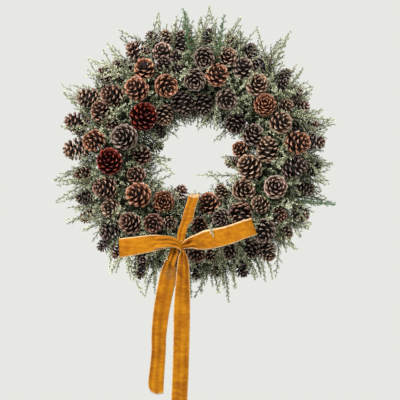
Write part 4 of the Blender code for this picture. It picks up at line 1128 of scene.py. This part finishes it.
def low_sprigs(fill, draw):
    """Sprigs that lie close to the wall and the ring, behind the others, darker: partly old needles,
    partly painted shade.
    """
    for low, high, count, side, first, last in LOW_BANDS:
        for number in range(count):
            share = (number + draw.uniform(-0.4, 0.4)) / count
            turn = math.radians(first + (last - first) * share)
            root, out = ring_spot(turn, side * math.radians(draw.uniform(68, 88)))
            end_turn = turn + draw.uniform(-0.12, 0.12)
            flat = draw.uniform(low, high)
            if side < 0:
                flat += LEFT_INSIDE_MORE * max(0.0, -math.cos(end_turn + 0.2)) ** 8
            if math.sin(end_turn) < -0.8:
                flat = min(flat, LOWEST_REACH)
            end = np.array([flat * math.cos(end_turn), -draw.uniform(4, 26), flat * math.sin(end_turn)])
            # Inner low sprigs in the upper half get the painted shadow under the top of the hole.
            painted_shadow = HOLE_TOP_SHADOW if side < 0 and end[2] > SHADED_ABOVE else 0.0
            # Their darker tone is partly old needles, partly painted shade.
            fill.grow(end, spray_curve(root, out, end, 0.3, 9), 10, draw.uniform(34, 46), COARSE, 0.0,
                      draw.uniform(-0.30, -0.04) - painted_shadow)


GAP_TRIES = 5200
GAP_SPACING = 8.4
GAP_ROOM = 0.2


def gap_spots(spheres, draw):
    """Free spots between the cones on the rounded front, well apart."""
    chosen = []
    for number in range(GAP_TRIES):
        around = draw.uniform(0, 2 * math.pi)
        root, out = ring_spot(around, math.radians(draw.uniform(-82, 84)))
        spot = root + out * draw.uniform(16, 25)
        if spot[1] > IN_FRONT:
            continue
        room = np.min(np.linalg.norm(spheres[:, :3] - spot, axis=1) - spheres[:, 3])
        if room > GAP_ROOM and all(np.linalg.norm(spot - other[2]) > GAP_SPACING for other in chosen):
            chosen.append((root, out, spot))
    return chosen


def gap_sprigs(fill, draw):
    """Short sprigs that fill the spaces between the cones."""
    for root, out, spot in gap_spots(fill.spheres, draw):
        around = math.atan2(spot[2], spot[0])
        swirl = np.array([-math.sin(around), 0, math.cos(around)]) * draw.choice((-1, 1))
        end = spot + out * draw.uniform(0, 12) + swirl * draw.uniform(2, 15)
        end = end + straight_out(around) * draw.uniform(-5, 10)
        end[1] = min(end[1], -12)
        green = (0.7, 0.95) if near_any((end[0], end[2]), FRESH_PLACES, 12.0) else (0, 0.12)
        fresh = draw.uniform(*green)
        habit = FEATHERY._replace(twig_length=draw.uniform(7, 13), twig_spacing=4.4)
        fill.grow(spot, spray_curve(root, out, end, 0.5, 10), 12, draw.uniform(24, 34), habit, fresh,
                  draw.uniform(-0.12, 0.22))


def bare_sprigs(fill, draw):
    """Sprigs straight out from the ring where the others leave it bare."""
    for x, z in map(from_photo, BARE_PLACES):
        tilt = math.asin((math.hypot(x, z) - RING_RADIUS) / (RING_DEPTH + 20.0))
        for number in range(4):
            root, out = ring_spot(math.atan2(z, x) + draw.uniform(-0.05, 0.05),
                                  tilt + draw.uniform(-0.15, 0.15))
            end = root + out * draw.uniform(18, 30) + draw.uniform(-7, 7, 3)
            fill.grow((x, z), spray_curve(root, out, end, 0.5, 10), 12, draw.uniform(24, 32), BARE_HABIT,
                      draw.uniform(0, 0.12), draw.uniform(-0.10, 0.15))


# Paths of the two sprigs that hang over the ribbon: over the right loop's top edge, and over the
# top of the left tail.
OVER_RIBBON = (
    ((8, -70, -96), (12, -92, -104), (17, -108, -108), (20, -119.5, -113), (22, -121, -119),
     (23.5, -121, -125)),
    ((-52, -60, -128), (-56, -82, -140), (-53, -99, -148), (-49, -105, -154), (-47.5, -106, -161)),
)
SQUEEZED = 0.86
JUNIPER_SEED = 11


def build_juniper(spheres, faces, ring):
    """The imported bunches, and the sprigs round and between them in pieces by sectors. Those at the
    edges may squeeze nearer to the cones."""
    finishes = [juniper_finish(), twig_finish()]
    draw = np.random.default_rng(JUNIPER_SEED)
    build_bunches(spheres, ring, finishes, draw)
    fill = Fill(spheres * (1.0, 1.0, 1.0, SQUEEZED), faces, draw)
    low_sprigs(fill, draw)
    edge_sprigs(fill, draw)
    fill.spheres = spheres
    gap_sprigs(fill, draw)
    bare_sprigs(fill, draw)
    for path in OVER_RIBBON:
        sprig(fill.stock_at(path[0][0], path[0][2]), path, 24.0, draw, OVERHANGING, 0.0, -0.08)
    for number, stock in enumerate(fill.stocks):
        stock.piece(f"juniper_fill_{number + 1:02d}", finishes, "juniper", (), True)


# Ribbon

RIBBON_FLAT = 27.0
CLOTH_THICK = 1.1
CLOTH_COLUMNS = 12
CLOTH_SPACING = 2.2
CREASE_SHADE_SCALE = 0.55
FULLY_NEAR = 1.4

# How much shorter the cut end of the left tail is, at places across it from -0.5 to 0.5.
RAGGED_PLACES = (-0.5, -0.42, -0.3, 0.05, 0.35, 0.5)
RAGGED_SHORTER = (15.0, 9.0, 3.5, 0.0, 1.5, 2.5)

# Dents and ridges in the velvet: how far along the ribbon each lies, and how far across in shares of
# its width, its length and width, how much it slants across with each millimetre, and its height.
Dent = namedtuple("Dent", "along across length width slant height")
LEFT_TAIL_DENTS = (
    Dent(8, 0.05, 6, 0.20, 0.0, -2.4), Dent(17, -0.12, 4, 0.10, 0.06, 1.2),
    Dent(33, 0.1, 7, 0.2, 0.03, -1.2),
)
RIGHT_TAIL_DENTS = (
    Dent(14, -0.02, 10, 0.09, 0.034, -2.2), Dent(24, 0.10, 9, 0.10, 0.022, -1.8),
    Dent(19, 0.28, 6, 0.08, 0.02, -1.6), Dent(44, -0.2, 8, 0.12, 0.04, -1.0),
)
RIGHT_LOOP_DENTS = (
    Dent(13, 0.04, 6, 0.17, 0.012, -4.2), Dent(22, 0.02, 3, 0.30, 0.0, 1.3),
    Dent(34, -0.22, 8, 0.10, -0.02, -1.2),
)
KNOT_DENTS = (Dent(40, -0.2, 7, 0.10, 0.0, -1.4), Dent(22, 0.16, 12, 0.08, 0.004, -1.2))


def level(*vector):
    """A width direction that is the same all along a path."""
    return lambda path: np.tile(vector, (len(path), 1))


def sideways(path):
    """The width direction of a tail: level, and square to its run."""
    along = unit(np.gradient(path[:, :3], axis=0))
    return unit(np.cross(along, (0.0, 1.0, 0.0)))


def near_share(points, spot, reach, most):
    """How near points are to a spot, from 0 to the most, for its reach along each axis."""
    distance = np.linalg.norm((points - np.array(spot)) / np.array(reach), axis=2)
    return np.clip(FULLY_NEAR - distance, 0, most)


def relief(stations, share, q, wide, draw, waves, pleats, deepest, dents):
    """How far the velvet stands off its path at stations along it and shares q across, and how
    much painted shade it gets there for lying in creases and dents, from 0 to 1."""
    shortage = np.clip(RIBBON_FLAT / wide - 1, 0, None)
    height = np.minimum(wide / (np.pi * pleats) * np.sqrt(shortage), deepest)
    phase = draw.uniform(0, FULL_TURN, 4)
    folds = (0.7 * np.cos(2 * np.pi * pleats * q + phase[3])
             + 0.3 * np.cos(2 * np.pi * (pleats + 1) * q + phase[2]))
    offset = height * folds
    crease_shade = np.clip(CREASE_SHADE_SCALE * height * np.clip(-folds, 0, None), 0, 1)
    for dent in dents:
        past = stations - dent.along
        off_line = (q - dent.across - dent.slant * past) / dent.width
        amount = np.exp(-off_line ** 2 - (past / dent.length) ** 2)
        offset = offset + dent.height * amount
        # Dents pushed in also get painted shade.
        crease_shade = np.clip(crease_shade + 0.9 * amount * (dent.height < 0), 0, 1)
    ease = np.minimum(1.0, np.minimum(share, 1 - share)[:, None] * 8)
    offset = offset + waves * ease * (
        0.55 * np.sin(stations / 19.0 + phase[0] + 2.2 * q)
        + 0.35 * np.sin(stations / 8.5 + phase[1] - 4.0 * q)
        + 0.9 * (4 * q ** 2) * np.sin(stations / 27.0 + phase[2]))
    return offset, crease_shade


def cloth(name, points, across_of, nodes, finish, waves, seed, ragged=False, worn=None,
          pale=None, pleats=2, deepest=2.2, hems=(1.0, 1.0), dents=()):
    """A strip of velvet along a path whose fourth column is its width. Where it is narrower than
    it was cut, the rest is taken up in pleats."""
    fine, along = fine_path(points)
    length = along[-1]
    rows = max(8, round(length / CLOTH_SPACING))
    columns = CLOTH_COLUMNS + 1
    q = np.linspace(-0.5, 0.5, columns)
    draw = np.random.default_rng(seed)
    ends = np.full(columns, length)
    if ragged:
        ends = length - np.interp(q, RAGGED_PLACES, RAGGED_SHORTER)
        ends -= draw.uniform(0, 0.9, columns)
    share = np.linspace(0, 1, rows)
    stations = share[:, None] * ends[None, :]
    flat, ahead, behind = (
        points_at(fine, along, (stations + step).reshape(-1)).reshape(rows, columns, 4)
        for step in (0.0, 1.0, -1.0))
    tangent = unit(ahead[..., :3] - behind[..., :3])
    guide = across_of(smooth_path(points, length / (rows - 1)))[:rows]
    guide = np.broadcast_to(guide[:, None], tangent.shape)
    across = unit(guide - tangent * np.sum(guide * tangent, axis=-1, keepdims=True))
    normal = np.cross(tangent, across)
    wide = flat[..., 3]
    offset, crease_shade = relief(stations, share, q, wide, draw, waves, pleats, deepest, dents)
    middle = flat[..., :3] + across * (wide * q)[..., None] + normal * offset[..., None]
    front, back = (middle + normal * (CLOTH_THICK / 2) * side for side in (1, -1))
    corners = np.concatenate([front, back[:, ::-1]], axis=1)
    loop = 2 * columns
    hem = np.abs(2 * q) * np.where(q < 0, *hems)
    rim = np.broadcast_to(np.concatenate([hem, hem[::-1]]), (rows, loop)).copy()
    if ragged:
        rim[-2:] = np.maximum(rim[-2:], 0.93)
    # A painted highlight in the hems' cream, where the sling turns pale in the light.
    if pale:
        rim = np.maximum(rim, near_share(corners, *pale, 0.95))
    wear = near_share(corners, *worn, 0.85) if worn else 0.0
    crease_shade = np.concatenate([crease_shade, crease_shade[:, ::-1]], axis=1)
    stock = Stock()
    stock.add(corners, net_faces(rows, loop, True), crease_shade, rim, wear)
    stock.add_faces([
        (start + i, start + i + 1, start + loop - 2 - i, start + loop - 1 - i)
        for start in (0, (rows - 1) * loop) for i in range(columns - 1)])
    thing = stock.piece(name, [finish], "velvet", nodes)


# Where the sling turns pale in the light and the left tail is worn, each with its reach.
PALE = ((-6.0, -53.0, -58.0), (20.0, 28.0, 16.0))
WORN = ((-43.0, -96.0, -184.0), (9.0, 30.0, 9.0))


def build_ribbon():
    velvet = velvet_finish()
    cloth("velvet_knot", WRAP, level(0.2, 0.0, 1.0), ["ribbon_knot"], velvet,
          0.2, 4, pleats=3, deepest=1.7, hems=(1.0, 0.93), dents=KNOT_DENTS)
    cloth("velvet_sling", (SLING_INSIDE[0], *SLING, SLING_INSIDE[1]), level(1.0, 0.0, 0.0),
          ["ribbon_sling"], velvet, 0.3, 1, pale=PALE, deepest=1.1,
          hems=(0.95, 0.97))
    cloth("velvet_loop_left", (LEFT_LOOP_INSIDE[0], *LEFT_LOOP, LEFT_LOOP_INSIDE[1]),
          level(-0.05, 0.0, 1.0), ["ribbon_loop_left"], velvet, 0.55, 3,
          deepest=2.8)
    cloth("velvet_loop_right", (RIGHT_LOOP_INSIDE[0], *RIGHT_LOOP, RIGHT_LOOP_INSIDE[1]),
          level(-0.33, 0.0, 0.94), ["ribbon_loop_right"], velvet, 0.55, 5,
          deepest=3.6, hems=(1.0, 1.07), dents=RIGHT_LOOP_DENTS)
    cloth("velvet_tail_left", (LEFT_TAIL_INSIDE, *LEFT_TAIL), sideways, ["ribbon_tail_left"],
          velvet, 0.9, 8, True, WORN, deepest=3.0, hems=(0.97, 0.97),
          dents=LEFT_TAIL_DENTS)
    cloth("velvet_tail_right", (RIGHT_TAIL_INSIDE, *RIGHT_TAIL), sideways, ["ribbon_tail_right"],
          velvet, 0.9, 9, deepest=3.0, hems=(0.99, 0.97), dents=RIGHT_TAIL_DENTS)


# Base ring and wire loop

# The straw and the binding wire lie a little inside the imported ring. The wire is wound round it in
# even turns and presses it in by fractions of a millimetre, in front and behind.
STRAW_DEPTH = RING_DEPTH - 0.9
WIRE_DEPTH = RING_DEPTH - 0.2
WIRE_TURNS = 46
WIRE_STEPS = 22
WIRE_Y = -0.45
WIRE_SHOWN = 0.4
PRESSED_ANGLE = 0.55
PRESSED_FRONT = 0.9
PRESSED_BACK = 1.1
RING_STEPS = 6 * WIRE_TURNS
LUMP_WAVES = (9, 14, 23)
LUMP_HEIGHT = 0.35
RING_SEED = 5
FRONT_ROWS = 30
BACK_ROWS = 38
BACK_Y = -0.12
BACK_ROUGH = 0.2
BACK_WAVES = 31
GROOVE_WIDTH = 22.5
GROOVE_DEPTH = 2.8
GROOVE_TOP = -60


def pressed_in(section, turn):
    """How much the straw is pressed in by the wire, from 0 to 1, at an angle round its section."""
    off = (section - WIRE_TURNS * turn + np.pi) % (2 * np.pi) - np.pi
    return np.exp(-(off / PRESSED_ANGLE) ** 2)


def build_ring():
    """The straw ring, half round, with a groove behind for the ribbon, and its binding wire."""
    draw = np.random.default_rng(RING_SEED)
    turn = np.linspace(0, 2 * np.pi, RING_STEPS, endpoint=False)[:, None]
    front = np.linspace(0, np.pi, FRONT_ROWS)[None, :]
    lumps = LUMP_HEIGHT * sum(
        np.sin(turn * wave + draw.uniform(0, FULL_TURN) + 3 * front) for wave in LUMP_WAVES)
    pressed = pressed_in(front, turn)
    depth = STRAW_DEPTH + (lumps - PRESSED_FRONT * pressed) * np.sin(front)
    back = np.linspace(1, -1, BACK_ROWS + 2)[1:-1][None, :]
    pressed_behind = pressed_in(np.pi + np.arccos(back), turn)
    behind = np.broadcast_to(RING_RADIUS + STRAW_DEPTH * back, (RING_STEPS, BACK_ROWS))
    radius = np.hstack([RING_RADIUS - depth * np.cos(front), behind])
    x, z = radius * np.cos(turn), radius * np.sin(turn)
    back_x, back_z = x[:, FRONT_ROWS:], z[:, FRONT_ROWS:]
    start, end = (np.array(point, float) for point in SLING_BACK)
    middle_x = start[0] + (end[0] - start[0]) * (back_z - start[2]) / (end[2] - start[2])
    in_groove = (back_z < GROOVE_TOP) & (np.abs(back_x - middle_x) < GROOVE_WIDTH / 2)
    back_y = BACK_Y - BACK_ROUGH * np.abs(np.sin(turn * BACK_WAVES)) - PRESSED_BACK * pressed_behind
    back_y = np.where(in_groove, -GROOVE_DEPTH, back_y)
    corners = np.stack([x, np.hstack([-depth * np.sin(front), back_y]), z], axis=-1)
    wide = FRONT_ROWS + BACK_ROWS
    pressed = np.hstack([pressed, pressed_behind])
    waves = draw.integers(2, 9, wide)
    stalks = 0.5 + 0.25 * np.sin(turn * waves + draw.uniform(0, FULL_TURN, wide))
    stalks = stalks + draw.uniform(-0.25, 0.25, wide)
    corners, pressed, stalks = (
        np.concatenate([values, values[:1]]) for values in (corners, pressed, stalks))
    # The front rows carry the dark moss and painted shade.
    moss_and_shade = np.broadcast_to(np.arange(wide) < FRONT_ROWS, (RING_STEPS + 1, wide))
    stock = Stock()
    stock.add(corners, net_faces(RING_STEPS + 1, wide, True), pressed, stalks, moss_and_shade)
    along = np.linspace(0, 2 * np.pi, WIRE_TURNS * WIRE_STEPS + 1)
    section = along * WIRE_TURNS
    wire_radius = RING_RADIUS - WIRE_DEPTH * np.cos(section)
    wire_y = np.where(np.sin(section) < 0, WIRE_Y, -WIRE_DEPTH * np.maximum(np.sin(section), 0.0))
    path = np.column_stack([wire_radius * np.cos(along), wire_y, wire_radius * np.sin(along)])
    tube(stock, path, WIRE_SHOWN, 4, 0.5, 0.0, 0.5, 1)
    stock.piece("straw_ring", [straw_finish(), wire_finish()], "straw", ["base_ring"])


def finish_wire():
    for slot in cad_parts["hanging_wire"].material_slots:
        slot.material = wire_finish()


# Stage, light and camera

ROOM_COLOUR = (0.800, 0.808, 0.775)
WALL_LIGHT = 0.3
LAMP_AIM = (0, -0.05, -0.2)
CAMERA_DISTANCE = 1.8
FRAME_WIDTH = 0.64
FRAME_PLANE = -0.05
FRAME_MIDDLE = (200, 200)

# Each lamp's name, place, size and power.
LAMPS = (
    ("key", (-1.0, -1.7, 1.2), 0.6, 58.0),
    ("fill", (1.3, -1.5, 0.1), 1.2, 3.0),
)


def build_room():
    """Light from all round, weaker from behind, where the wall would be. The camera sees it even."""
    world = bpy.data.worlds.new("studio")
    world.use_nodes = True
    room = Shading(world.node_tree)
    seen = room.nodes["Background"]
    room.put(seen.inputs["Color"], ROOM_COLOUR)
    room.put(seen.inputs["Strength"], 1.0)
    backwards = room.node("SeparateXYZ", "Y", ((0, room.node("TexCoord", "Generated")),))
    strength = room.span(backwards, -0.3, 0.35, 1.0, WALL_LIGHT)
    lit = room.node("Background", 0, (("Color", ROOM_COLOUR), ("Strength", strength)))
    by_camera = room.node("LightPath", "Is Camera Ray")
    choice = room.node("MixShader", 0, ((0, by_camera), (1, lit), (2, seen.outputs[0])))
    room.put(room.nodes["World Output"].inputs["Surface"], choice)
    bpy.context.scene.world = world


def build_stage():
    bpy.context.scene.view_settings.view_transform = "Standard"
    build_room()
    bpy.ops.mesh.primitive_circle_add(vertices=96, radius=0.6, fill_type="NGON", location=(0, 0, -0.75))
    floor = bpy.context.object
    floor.name = "floor"
    floor.data.materials.append(floor_finish())
    for name, place, size, power in LAMPS:
        light = bpy.data.lights.new(name, "AREA")
        light.energy = power
        light.size = size
        lamp = bpy.data.objects.new(name, light)
        lamp.location = place
        lamp.rotation_euler = (Vector(LAMP_AIM) - Vector(place)).to_track_quat("-Z", "Y").to_euler()
        bpy.context.scene.collection.objects.link(lamp)


def build_camera():
    camera = bpy.data.cameras.new("camera")
    camera.sensor_width = 36.0
    camera.lens = camera.sensor_width * CAMERA_DISTANCE / FRAME_WIDTH
    thing = bpy.data.objects.new("camera", camera)
    x, z = from_photo(FRAME_MIDDLE)
    thing.location = (x * MM, FRAME_PLANE - CAMERA_DISTANCE, (z - CENTRE_BELOW_NAIL) * MM)
    thing.rotation_euler = (math.radians(90), 0, 0)
    bpy.context.scene.collection.objects.link(thing)
    bpy.context.scene.camera = thing


def main():
    build_camera()
    build_stage()
    build_ring()
    finish_wire()
    build_ribbon()
    ribbon = ribbon_spheres()
    places, axes = settle(ribbon)
    ring = mesh_tree("base_ring")
    build_cones(places, axes, ring)
    faces = np.column_stack([places, CONE_RADII])
    build_juniper(np.vstack([cone_spheres(places, axes), ribbon]), faces, ring)


main()
